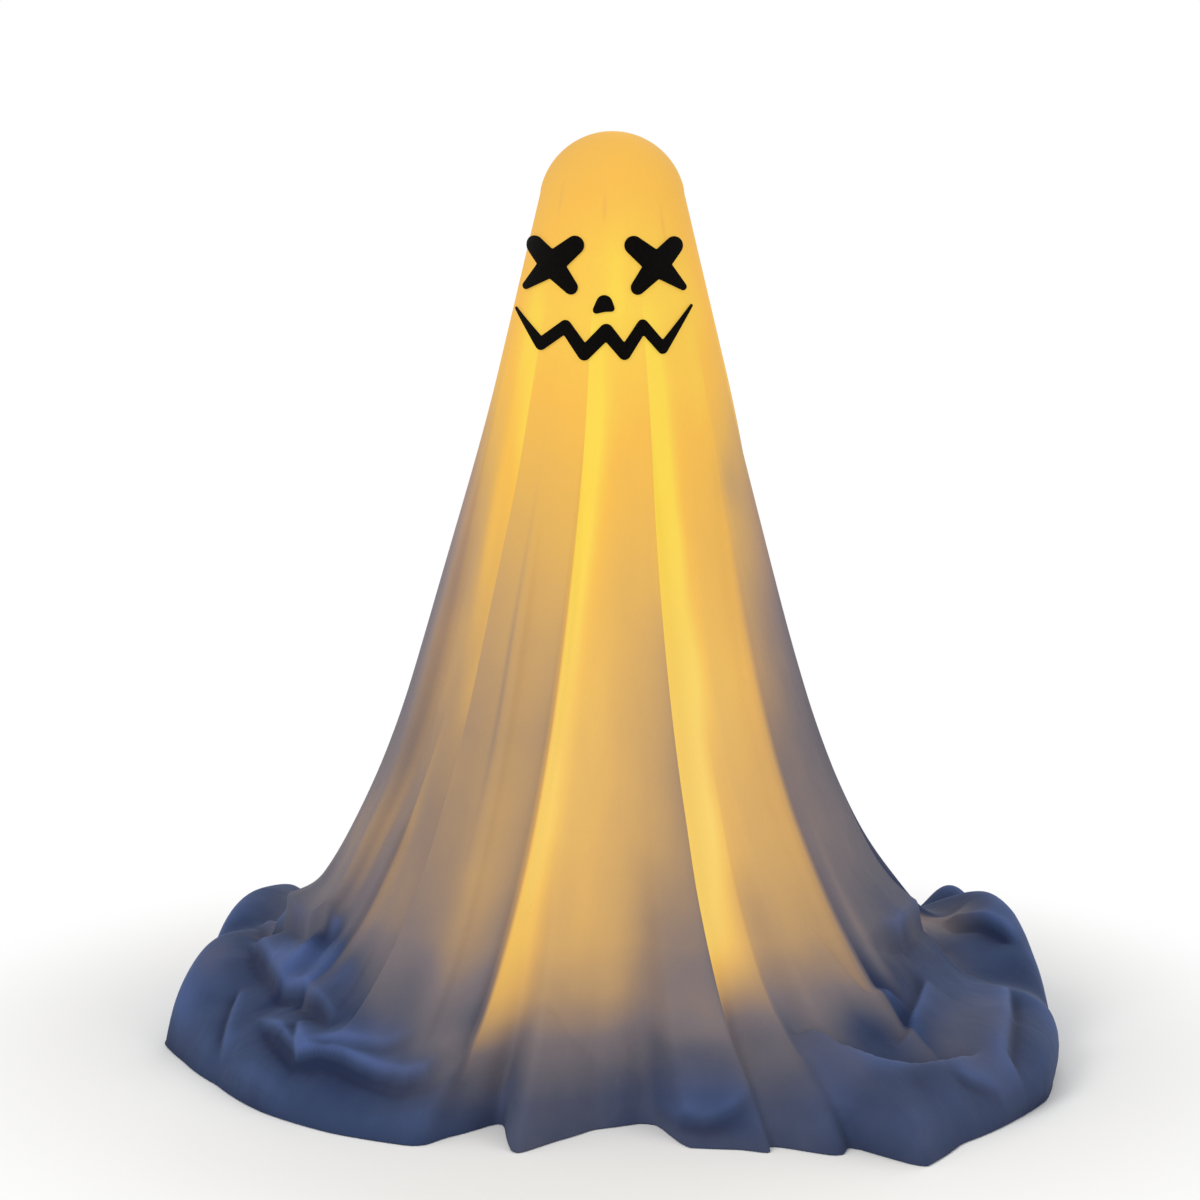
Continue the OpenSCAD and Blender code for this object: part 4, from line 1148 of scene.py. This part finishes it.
@dataclass
class FeltFace:
    """The four felt patches of the face, cut flat and glued on the cloth.

    Attributes:
        form: Shape of the cloth under the face.
        middle_x: Place of the face's middle, sideways.
        eye_z: Height of the eyes' middles.
        eye_gap: Distance between the eyes' middles.
        eye_w: Size that an eye's tips are given in shares of.
        eye_stroke: Radius of a stroke at the middle of an eye.
        nose_z: Height that the nose hangs from.
        nose_w: Width of the nose.
        mouth_z: Height of the mouth.
        mouth_w: Width of the mouth.
        felt_t: Thickness of the felt.
        glue: Thickness of the glue under it.
        grain: Size of the cells that the mesh is filled with.
        blank_half: Half the thickness of a patch before it is laid.
        arc_points: Number of points on one round end of a stroke.
        relax_share: How far points move in one round of smoothing.
        relax_steps: Rounds of smoothing.
        side_limit: Share of the cloth's radius that a patch may reach sideways.
    """
    form: ShroudForm
    middle_x: float = -4.2
    eye_z: float = 655.0
    eye_gap: float = 84.4
    eye_w: float = 50.0
    eye_stroke: float = 9.6
    nose_z: float = 632.0
    nose_w: float = 17.2
    mouth_z: float = 600.0
    mouth_w: float = 142.0
    felt_t: float = 1.6
    glue: float = 0.2
    grain: float = 0.55
    blank_half: float = 2.0
    arc_points: int = 15
    relax_share: float = 0.5
    relax_steps: int = 4
    side_limit: float = 0.995

    def stroke(self, start: Point, end: Point) -> list[Spot]:
        """Give the outline round two circles.

        Args:
            start: Middle and radius of one circle.
            end: Middle and radius of the other.

        Returns:
            The outline's points.
        """
        (x0, z0, r0), (x1, z1, r1) = start, end
        way = math.atan2(z1 - z0, x1 - x0)
        touch = math.acos((r0 - r1) / math.hypot(x1 - x0, z1 - z0))
        arcs = ((x0, z0, r0, np.linspace(touch, 2 * math.pi - touch, self.arc_points)),
                (x1, z1, r1, np.linspace(-touch, touch, self.arc_points)))
        return [(x + r * math.cos(way + t), z + r * math.sin(way + t))
                for x, z, r, turns in arcs for t in turns]

    def eye_outlines(self, flip: int) -> list[list[Spot]]:
        """Give the four strokes of an eye, with tips in shares of its width and stroke."""
        tips = ((0.27, 0.29, 0.78), (-0.378, 0.308, 0.78), (-0.312, -0.352, 0.6), (0.42, -0.36, 0.3))
        middle = (0, 0, self.eye_stroke)
        return [self.stroke(middle, (flip * x * self.eye_w, z * self.eye_w, r * self.eye_stroke))
                for x, z, r in tips]

    def nose_outlines(self) -> list[list[Spot]]:
        """Give the two strokes of the nose, in shares of its width."""
        top = (0, -0.4, 0.385)
        feet = ((-0.37, -0.7, 0.165), (0.325, -0.62, 0.155))
        return [self.stroke(*[tuple(self.nose_w * c for c in end) for end in (top, foot)]) for foot in feet]

    def mouth_outlines(self) -> list[list[Spot]]:
        """Give the strokes of the mouth's zigzag, in shares of its width."""
        bends = ((-0.5, 0.131, 0.009), (-0.357, -0.054, 0.034), (-0.217, 0.049, 0.035),
                 (-0.112, -0.098, 0.039), (0.011, 0.025, 0.041), (0.113, -0.097, 0.036),
                 (0.214, 0.056, 0.033), (0.327, -0.073, 0.031), (0.491, 0.155, 0.009))
        ends = [tuple(self.mouth_w * c for c in bend) for bend in bends]
        return [self.stroke(a, b) for a, b in zip(ends, ends[1:])]

    def blank(self, name: str, outlines: list[list[Spot]]) -> bpy.types.Object:
        """Cut a patch out of flat felt.

        Args:
            name: The patch's name.
            outlines: Closed outlines seen from the front, which are joined.

        Returns:
            The flat patch, with its numbers in millimetres.
        """
        mesh = bmesh.new()
        for outline in outlines:
            low = [mesh.verts.new((x, -self.blank_half, z)) for x, z in outline]
            face = mesh.faces.new(low)
            made = bmesh.ops.extrude_face_region(mesh, geom=[face])["geom"]
            for vert in made:
                if isinstance(vert, bmesh.types.BMVert):
                    vert.co.y = self.blank_half
        bmesh.ops.recalc_face_normals(mesh, faces=mesh.faces)
        data = bpy.data.meshes.new(name)
        mesh.to_mesh(data)
        mesh.free()
        piece = bpy.data.objects.new(name, data)
        bpy.context.scene.collection.objects.link(piece)
        remesh = piece.modifiers.new("fill", "REMESH")
        remesh.mode = "VOXEL"
        remesh.voxel_size = self.grain
        relax = piece.modifiers.new("relax", "SMOOTH")
        relax.factor = self.relax_share
        relax.iterations = self.relax_steps
        done = bpy.data.meshes.new_from_object(piece.evaluated_get(bpy.context.evaluated_depsgraph_get()))
        piece.modifiers.clear()
        piece.data = done
        return piece

    def patch(self, name: str, outlines: list[list[Spot]], x: float, z: float) -> bpy.types.Object:
        """Cut a patch out of felt and lay it on the cloth.

        Args:
            name: The patch's name.
            outlines: Closed outlines seen from the front, which are joined.
            x: Place of the outlines' origin, sideways.
            z: Place of the outlines' origin, upwards.

        Returns:
            The patch.
        """
        piece = self.blank(name, outlines)
        points = np.zeros(len(piece.data.vertices) * 3)
        piece.data.vertices.foreach_get("co", points)
        points = points.reshape(-1, 3)
        depth = (points[:, 1].max() - points[:, 1]) / np.ptp(points[:, 1]) * self.felt_t
        pz = points[:, 2] + z
        sway = self.form.sway(pz)
        r = self.form.cone(pz) + self.glue + depth
        px = np.clip(points[:, 0] + x - sway, -self.side_limit * r, self.side_limit * r)
        laid = np.column_stack([px + sway, -np.sqrt(r * r - px * px), pz]) * MM
        piece.data.vertices.foreach_set("co", laid.reshape(-1))
        piece.data.polygons.foreach_set("use_smooth", [True] * len(piece.data.polygons))
        piece.data.update()
        return piece

    def build(self) -> dict[str, bpy.types.Object]:
        """Make the four patches.

        Returns:
            Each patch by the name of the node it stands for.
        """
        left = self.middle_x - self.eye_gap / 2
        right = self.middle_x + self.eye_gap / 2
        return {
            "left_eye": self.patch("felt_left_eye", self.eye_outlines(-1), left, self.eye_z),
            "right_eye": self.patch("felt_right_eye", self.eye_outlines(1), right, self.eye_z),
            "nose": self.patch("felt_nose", self.nose_outlines(), self.middle_x, self.nose_z),
            "mouth": self.patch("felt_mouth", self.mouth_outlines(), self.middle_x, self.mouth_z),
        }

    def place(self, patches: dict[str, bpy.types.Object], material: bpy.types.Material) -> None:
        """Dress the patches and fix them to the shroud."""
        for node, piece in patches.items():
            dress(piece, material)
            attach(piece, Body.SHROUD.value)
            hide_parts(node)


@dataclass
class LightString:
    """The twisted pair of wires wound up the pole.

    Attributes:
        pole_r: Radius of the pole.
        wire_r: Radius of the pair.
        turns: Number of turns round the pole.
        ease: Share of the winding over which it starts or stops turning.
        exit_y: Distance behind the pole's axis where the wire comes up.
        from_z: Height of the wire's lower end.
        winding_z: Height where the winding starts.
        winding_top: Height where it ends.
        strand_r: Radius of one strand.
        twist: Length of one twist of the pair.
        pole_gap: Gap between the wire and the pole.
        start_turn: Angle where the winding starts.
        turn_points: Number of points along one turn.
        tail: Length of the straight upper end.
        tail_points: Number of points along it.
        sides: Number of sides of a strand's mesh.
    """
    pole_r: float = 10.0
    wire_r: float = 0.9
    turns: int = 12
    ease: float = 0.06
    exit_y: float = 21.0
    from_z: float = 143.8
    winding_z: float = 158.8
    winding_top: float = 649.8
    strand_r: float = 0.46
    twist: float = 9.0
    pole_gap: float = 0.4
    start_turn: float = 180.0
    turn_points: int = 84
    tail: float = 3.6
    tail_points: int = 6
    sides: int = 7

    @property
    def winding_r(self) -> float:
        """Radius of the wire's middle round the pole."""
        return self.pole_r + self.wire_r + self.pole_gap

    def at(self, s: float) -> Point:
        """Give the middle of the wire at a share of the winding."""
        e = self.ease
        if s < e:
            turned = s * s / (2 * e * (1 - e))
        elif s > 1 - e:
            turned = 1 - (1 - s) ** 2 / (2 * e * (1 - e))
        else:
            turned = (s - e / 2) / (1 - e)
        a = math.radians(self.start_turn + 360 * self.turns * turned)
        r = self.winding_r + (self.exit_y - self.winding_r) * (1 - float(smooth_ramp(np.asarray(s / e))))
        return (r * math.sin(a), -r * math.cos(a), self.winding_z + (self.winding_top - self.winding_z) * s)

    def route(self) -> np.ndarray:
        """Give points along the middle of the wire."""
        foot = [(0.0, self.exit_y, z) for z in np.arange(self.from_z, self.winding_z, 1.0)]
        coil = [self.at(s) for s in np.linspace(0, 1, self.turns * self.turn_points)]
        x, y, z = coil[-1]
        tail = [(x, y, z + up) for up in np.linspace(0, self.tail, self.tail_points + 1)[1:]]
        return np.array(foot + coil + tail)

    def build(self) -> bpy.types.Object:
        """Make the mesh of both strands.

        Returns:
            The light string's wire.
        """
        path = self.route()
        run = np.gradient(path, axis=0)
        run /= np.linalg.norm(run, axis=1)[:, None]
        out = path * [1, 1, 0]
        out -= run * (out * run).sum(axis=1)[:, None]
        out /= np.linalg.norm(out, axis=1)[:, None]
        side = np.cross(run, out)
        far = np.concatenate([[0], np.cumsum(np.linalg.norm(np.diff(path, axis=0), axis=1))])
        points: list[np.ndarray] = []
        faces: Faces = []
        count = len(path)
        for half in (0, math.pi):
            turn = (2 * math.pi * far / self.twist + half)[:, None]
            middle = path + (out * np.cos(turn) + side * np.sin(turn)) * (self.wire_r - self.strand_r)
            rows = [len(points) * count + j * count for j in range(self.sides)]
            for j in range(self.sides):
                a = 2 * math.pi * j / self.sides
                points.append(middle + (out * math.cos(a) + side * math.sin(a)) * self.strand_r)
            for row, beside in zip(rows, rows[1:] + rows[:1]):
                faces += [(row + i, beside + i, beside + i + 1, row + i + 1) for i in range(count - 1)]
            faces += [tuple(reversed(rows)), tuple(row + count - 1 for row in rows)]
        return new_piece("light_wire_pair", np.concatenate(points), faces)

    def place(self, piece: bpy.types.Object, material: bpy.types.Material) -> None:
        """Dress the wire and fix it to the stand."""
        dress(piece, material)
        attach(piece, Body.STAND.value)
        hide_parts("light_wire")


@dataclass
class ContactSprings:
    """The three conical springs that press on the cells.

    Attributes:
        wire_r: Radius of the spring wire.
        curls: Number of turns of a spring.
        wide_r: Radius of a spring at its plate.
        narrow_r: Radius of a spring at its cell.
        pitch: Distance between the cells' axes.
        middle_y: Distance of these axes behind the pole's.
        bay_z: Height of the floor of the cells' bay.
        bay_l: Height of the bay.
        plate_t: Thickness of a contact plate.
        length: Length of a spring.
        plate_gap: Gap between a spring and its plate.
        cells: Number of cells.
        curl_points: Number of points along one turn.
        sides: Number of sides of the wire's mesh.
    """
    wire_r: float = 0.4
    curls: int = 3
    wide_r: float = 5.2
    narrow_r: float = 3.4
    pitch: float = 15.0
    middle_y: float = 24.5
    bay_z: float = 74.4
    bay_l: float = 58.0
    plate_t: float = 0.5
    length: float = 4.8
    plate_gap: float = 0.2
    cells: int = 3
    curl_points: int = 28
    sides: int = 8

    def build(self) -> bpy.types.Object:
        """Make the mesh of all springs."""
        points: list[Point] = []
        faces: Faces = []
        sides = self.sides
        count = self.curls * self.curl_points + 1
        foot = self.bay_l / 2 - self.plate_t - self.wire_r - self.plate_gap
        for cell in range(self.cells):
            up = -1 if cell % 2 else 1
            x = (cell - (self.cells - 1) / 2) * self.pitch
            base = len(points)
            for i in range(count):
                s = i / (count - 1)
                a = 2 * math.pi * self.curls * s
                r = self.wide_r + (self.narrow_r - self.wide_r) * s
                z = self.length * s - foot
                for j in range(sides):
                    b = 2 * math.pi * j / sides
                    reach = r + self.wire_r * math.cos(b)
                    points.append((x + reach * math.sin(a), self.middle_y - reach * math.cos(a),
                                   self.bay_z + self.bay_l / 2 + up * (z + self.wire_r * math.sin(b))))
            for i in range(count - 1):
                for j in range(sides):
                    k = (j + 1) % sides
                    quad = (base + i * sides + j, base + i * sides + k, base + (i + 1) * sides + k,
                            base + (i + 1) * sides + j)
                    faces.append(quad if up > 0 else quad[::-1])
            for ring, flip in ((0, up < 0), (count - 1, up > 0)):
                cap = tuple(base + ring * sides + j for j in range(sides))
                faces.append(cap if flip else cap[::-1])
        return new_piece("contact_spring_coils", np.array(points), faces)

    def place(self, piece: bpy.types.Object, material: bpy.types.Material) -> None:
        """Dress the springs and fix them to the stand."""
        dress(piece, material)
        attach(piece, Body.STAND.value)
        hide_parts("contact_springs")


@dataclass
class LampStand:
    """The rigid pieces of the stand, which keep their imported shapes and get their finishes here."""

    @staticmethod
    def finishes() -> dict[Finish, tuple[str, ...]]:
        """Give each finish with the nodes that have it."""
        return {
            # Frosted by the mould: no clear highlights; the light of the lamps inside is painted in as a
            # glow.
            Moulded("blown_frosted_polypropylene", "#fff0cc", 0.6, 1.49, 1.2, 0.15, 0.5): ("head_dome",),
            # Fine mould grain: a satin white.
            Moulded("moulded_white_abs", "#efebe1", 0.48):
                ("head_hub", "base_shell", "base_cover", "pole_clip"),
            # Baked powder: a faint orange peel with half a gloss.
            Moulded("powder_coated_tube", "#e8e6df", 0.42, 1.5, 1.4, 0.3):
                ("upper_tube", "middle_tube", "lower_tube"),
            # Nylon: off-white and slightly waxy.
            Moulded("moulded_nylon_coupler", "#d8d4c8", 0.45, 1.53): ("tube_couplers",),
            # Left as it was rolled: dull grey with long lines.
            Metal("mill_rolled_steel", "#85888c", 0.45, 0.9): ("ballast_disc",),
            # Zinc: bright, cool and a little streaked.
            Metal("bright_zinc_plate", "#c9ccd0", 0.3): ("cover_screws", "clip_screws", "switch_body"),
            # Cut foam: coarse pores and no gloss.
            Moulded("skived_black_eva_foam", "#2b2b2d", 0.85, 1.5, 1.6, 0.8): ("non_slip_pad",),
            # Fine mould grain: black with a soft sheen.
            Moulded("moulded_black_abs", "#232427", 0.52, 1.53, 0.6, 0.3): ("battery_case", "battery_door"),
            CellJacket(): ("battery_cells",),
            # Nickel: a warm white metal with sharp highlights.
            Metal("nickel_plate", "#d2cfc6", 0.22): ("contact_plates",),
            CircuitBoard(): ("driver_board",),
            # Satin grey that stands out from the black case.
            Moulded("moulded_grey_abs", "#a9a9a8", 0.5): ("switch_slider",),
            # Rubber: matt black with hardly a highlight.
            Moulded("moulded_black_rubber", "#1a1a1b", 0.75, 1.52, 0.9, 0.3): ("wire_grommet",),
            # Satin ivory, close to the colour of the wire.
            Moulded("moulded_ivory_abs", "#efe8d6", 0.45): ("led_holders",),
            # Cast in a polished mould: smooth, glossy and lit from inside.
            Moulded("cast_epoxy_lens", "#ffcf70", 0.15, 1.55, 2.0, 0.02, 2.5): ("led_bulbs",),
            # Uncoloured nylon: milky white with half a gloss.
            Moulded("moulded_natural_nylon", "#efeee6", 0.4): ("cable_ties",),
        }

    def place(self) -> None:
        """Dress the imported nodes."""
        for finish, nodes in self.finishes().items():
            material = finish.build()
            for node in nodes:
                dress(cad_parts[node], material)
                LOG.info("%s has %s", node, finish.name)


@dataclass(frozen=True)
class SoftLamp:
    """A square soft box: where it stands, its side in metres and its power in watts."""
    name: str
    spot: Point
    side: float
    power: float


@dataclass
class Studio:
    """Camera, floor and soft lights.

    Attributes:
        eye: Place of the camera.
        look_down: Angle of its view below the level.
        field: Width of its view, as an angle.
        floor_half: Half the side of the floor.
        floor_colour: Colour of the floor round the ghost.
        clear_from: Distance from the pole where the floor begins to turn white.
        clear_to: Distance where it is plain white.
        room_light: Strength of the even light from all round.
        lamp_aim: Point that the lamps face.
        lamps: The soft lamps.
    """
    eye: Point = (-7.6, -2571.4, 760.4)
    look_down: float = 8.5
    field: float = 21.626
    floor_half: float = 9000.0
    floor_colour: str = "#f7f7f6"
    clear_from: float = 400.0
    clear_to: float = 680.0
    room_light: float = 0.62
    lamp_aim: Point = (0.0, 0.0, 300.0)
    lamps: tuple[SoftLamp, ...] = (
        SoftLamp("key", (-1700.0, -1900.0, 2300.0), 1.4, 34),
        SoftLamp("fill", (2200.0, -1500.0, 1500.0), 1.8, 14),
        SoftLamp("rim", (600.0, 2400.0, 2200.0), 1.6, 16),
    )

    def camera(self) -> None:
        """Stand the camera where the photograph was taken from."""
        data = bpy.data.cameras.new("camera")
        data.sensor_fit = "HORIZONTAL"
        data.angle = math.radians(self.field)
        data.clip_end = 100
        camera = bpy.data.objects.new("camera", data)
        camera.location = [c * MM for c in self.eye]
        camera.rotation_euler = (math.radians(90 - self.look_down), 0, 0)
        bpy.context.scene.collection.objects.link(camera)
        bpy.context.scene.camera = camera
        bpy.context.scene.view_settings.view_transform = "Standard"

    @staticmethod
    def seen(tree: bpy.types.NodeTree) -> bpy.types.NodeSocket:
        """Tell rays that show the background from those that only carry light."""
        path = add_node(tree, "LightPath").outputs
        mirror = add_node(tree, "Math", links={0: path["Is Glossy Ray"], 1: path["Is Transmission Ray"]},
                          operation="MAXIMUM")
        return add_node(tree, "Math", links={0: path["Is Camera Ray"], 1: mirror.outputs[0]},
                        operation="MAXIMUM").outputs[0]

    def floor(self) -> None:
        """Lay a pale floor that turns into plain white away from the ghost."""
        h = self.floor_half
        corners = np.array([(-h, -h, 0), (h, -h, 0), (h, h, 0), (-h, h, 0)])
        floor = new_piece("studio_floor", corners, [(0, 1, 2, 3)])
        material, tree = new_material("pale_studio_floor")
        place = add_node(tree, "TexCoord").outputs["Object"]
        far = add_node(tree, "VectorMath", links={0: place}, operation="LENGTH").outputs["Value"]
        span = {"From Min": self.clear_from * MM, "From Max": self.clear_to * MM}
        clear = add_node(tree, "MapRange", span, {"Value": far}, interpolation_type="SMOOTHSTEP")
        mask = add_node(tree, "Math", links={0: clear.outputs[0], 1: self.seen(tree)}, operation="MULTIPLY")
        pale = add_node(tree, "BsdfPrincipled", {"Base Color": linear(self.floor_colour), "Roughness": 0.9,
                                                 "Specular IOR Level": 0.0})
        white = add_node(tree, "Emission", {"Color": (1, 1, 1, 1), "Strength": 1.0})
        shader = add_node(tree, "MixShader",
                          links={0: mask.outputs[0], 1: pale.outputs[0], 2: white.outputs[0]})
        close_material(tree, shader)
        dress(floor, material)

    def lights(self) -> None:
        """Light the scene softly from both sides, with an even room round it."""
        world = bpy.data.worlds.new("soft_room")
        bpy.context.scene.world = world
        world.use_nodes = True
        tree = world.node_tree
        tree.nodes.clear()
        room = add_node(tree, "Background", {"Color": (1, 1, 1, 1), "Strength": self.room_light})
        white = add_node(tree, "Background", {"Color": (1, 1, 1, 1), "Strength": 1.0})
        mix = add_node(tree, "MixShader",
                       links={0: self.seen(tree), 1: room.outputs[0], 2: white.outputs[0]})
        add_node(tree, "OutputWorld", links={"Surface": mix.outputs[0]})
        for soft in self.lamps:
            data = bpy.data.lights.new(soft.name, "AREA")
            data.size = soft.side
            data.energy = soft.power
            lamp = bpy.data.objects.new(soft.name, data)
            lamp.location = Vector(soft.spot) * MM
            aim = (Vector(self.lamp_aim) - Vector(soft.spot)) * MM
            lamp.rotation_euler = aim.to_track_quat("-Z", "Y").to_euler()
            bpy.context.scene.collection.objects.link(lamp)


def main() -> None:
    """Build the scene piece by piece."""
    logging.basicConfig(level=logging.INFO, format="%(name)s: %(message)s")
    studio = Studio()
    studio.camera()
    studio.floor()
    studio.lights()
    form = ShroudForm()
    shroud = Shroud(form, LampGlow())
    cloth = shroud.build()
    shroud.place(cloth, Voile().build())
    LOG.info("%s has %d points", cloth.name, len(cloth.data.vertices))
    face = FeltFace(form)
    patches = face.build()
    face.place(patches, Felt().build())
    for node, piece in patches.items():
        LOG.info("%s stands for %s with %d points", piece.name, node, len(piece.data.vertices))
    string = LightString()
    wire = string.build()
    # Extruded sleeve: smooth ivory with a soft gloss.
    string.place(wire, Moulded("extruded_ivory_pvc", "#e6dcc2", 0.42, 1.53).build())
    springs = ContactSprings()
    coils = springs.build()
    # Drawn wire, plated: fine lines and sharp highlights.
    springs.place(coils, Metal("nickel_plated_wire", "#d2cfc6", 0.22, 0.3).build())
    for piece in (wire, coils):
        LOG.info("%s has %d points", piece.name, len(piece.data.vertices))
    LampStand().place()


if __name__ == "__main__":
    main()
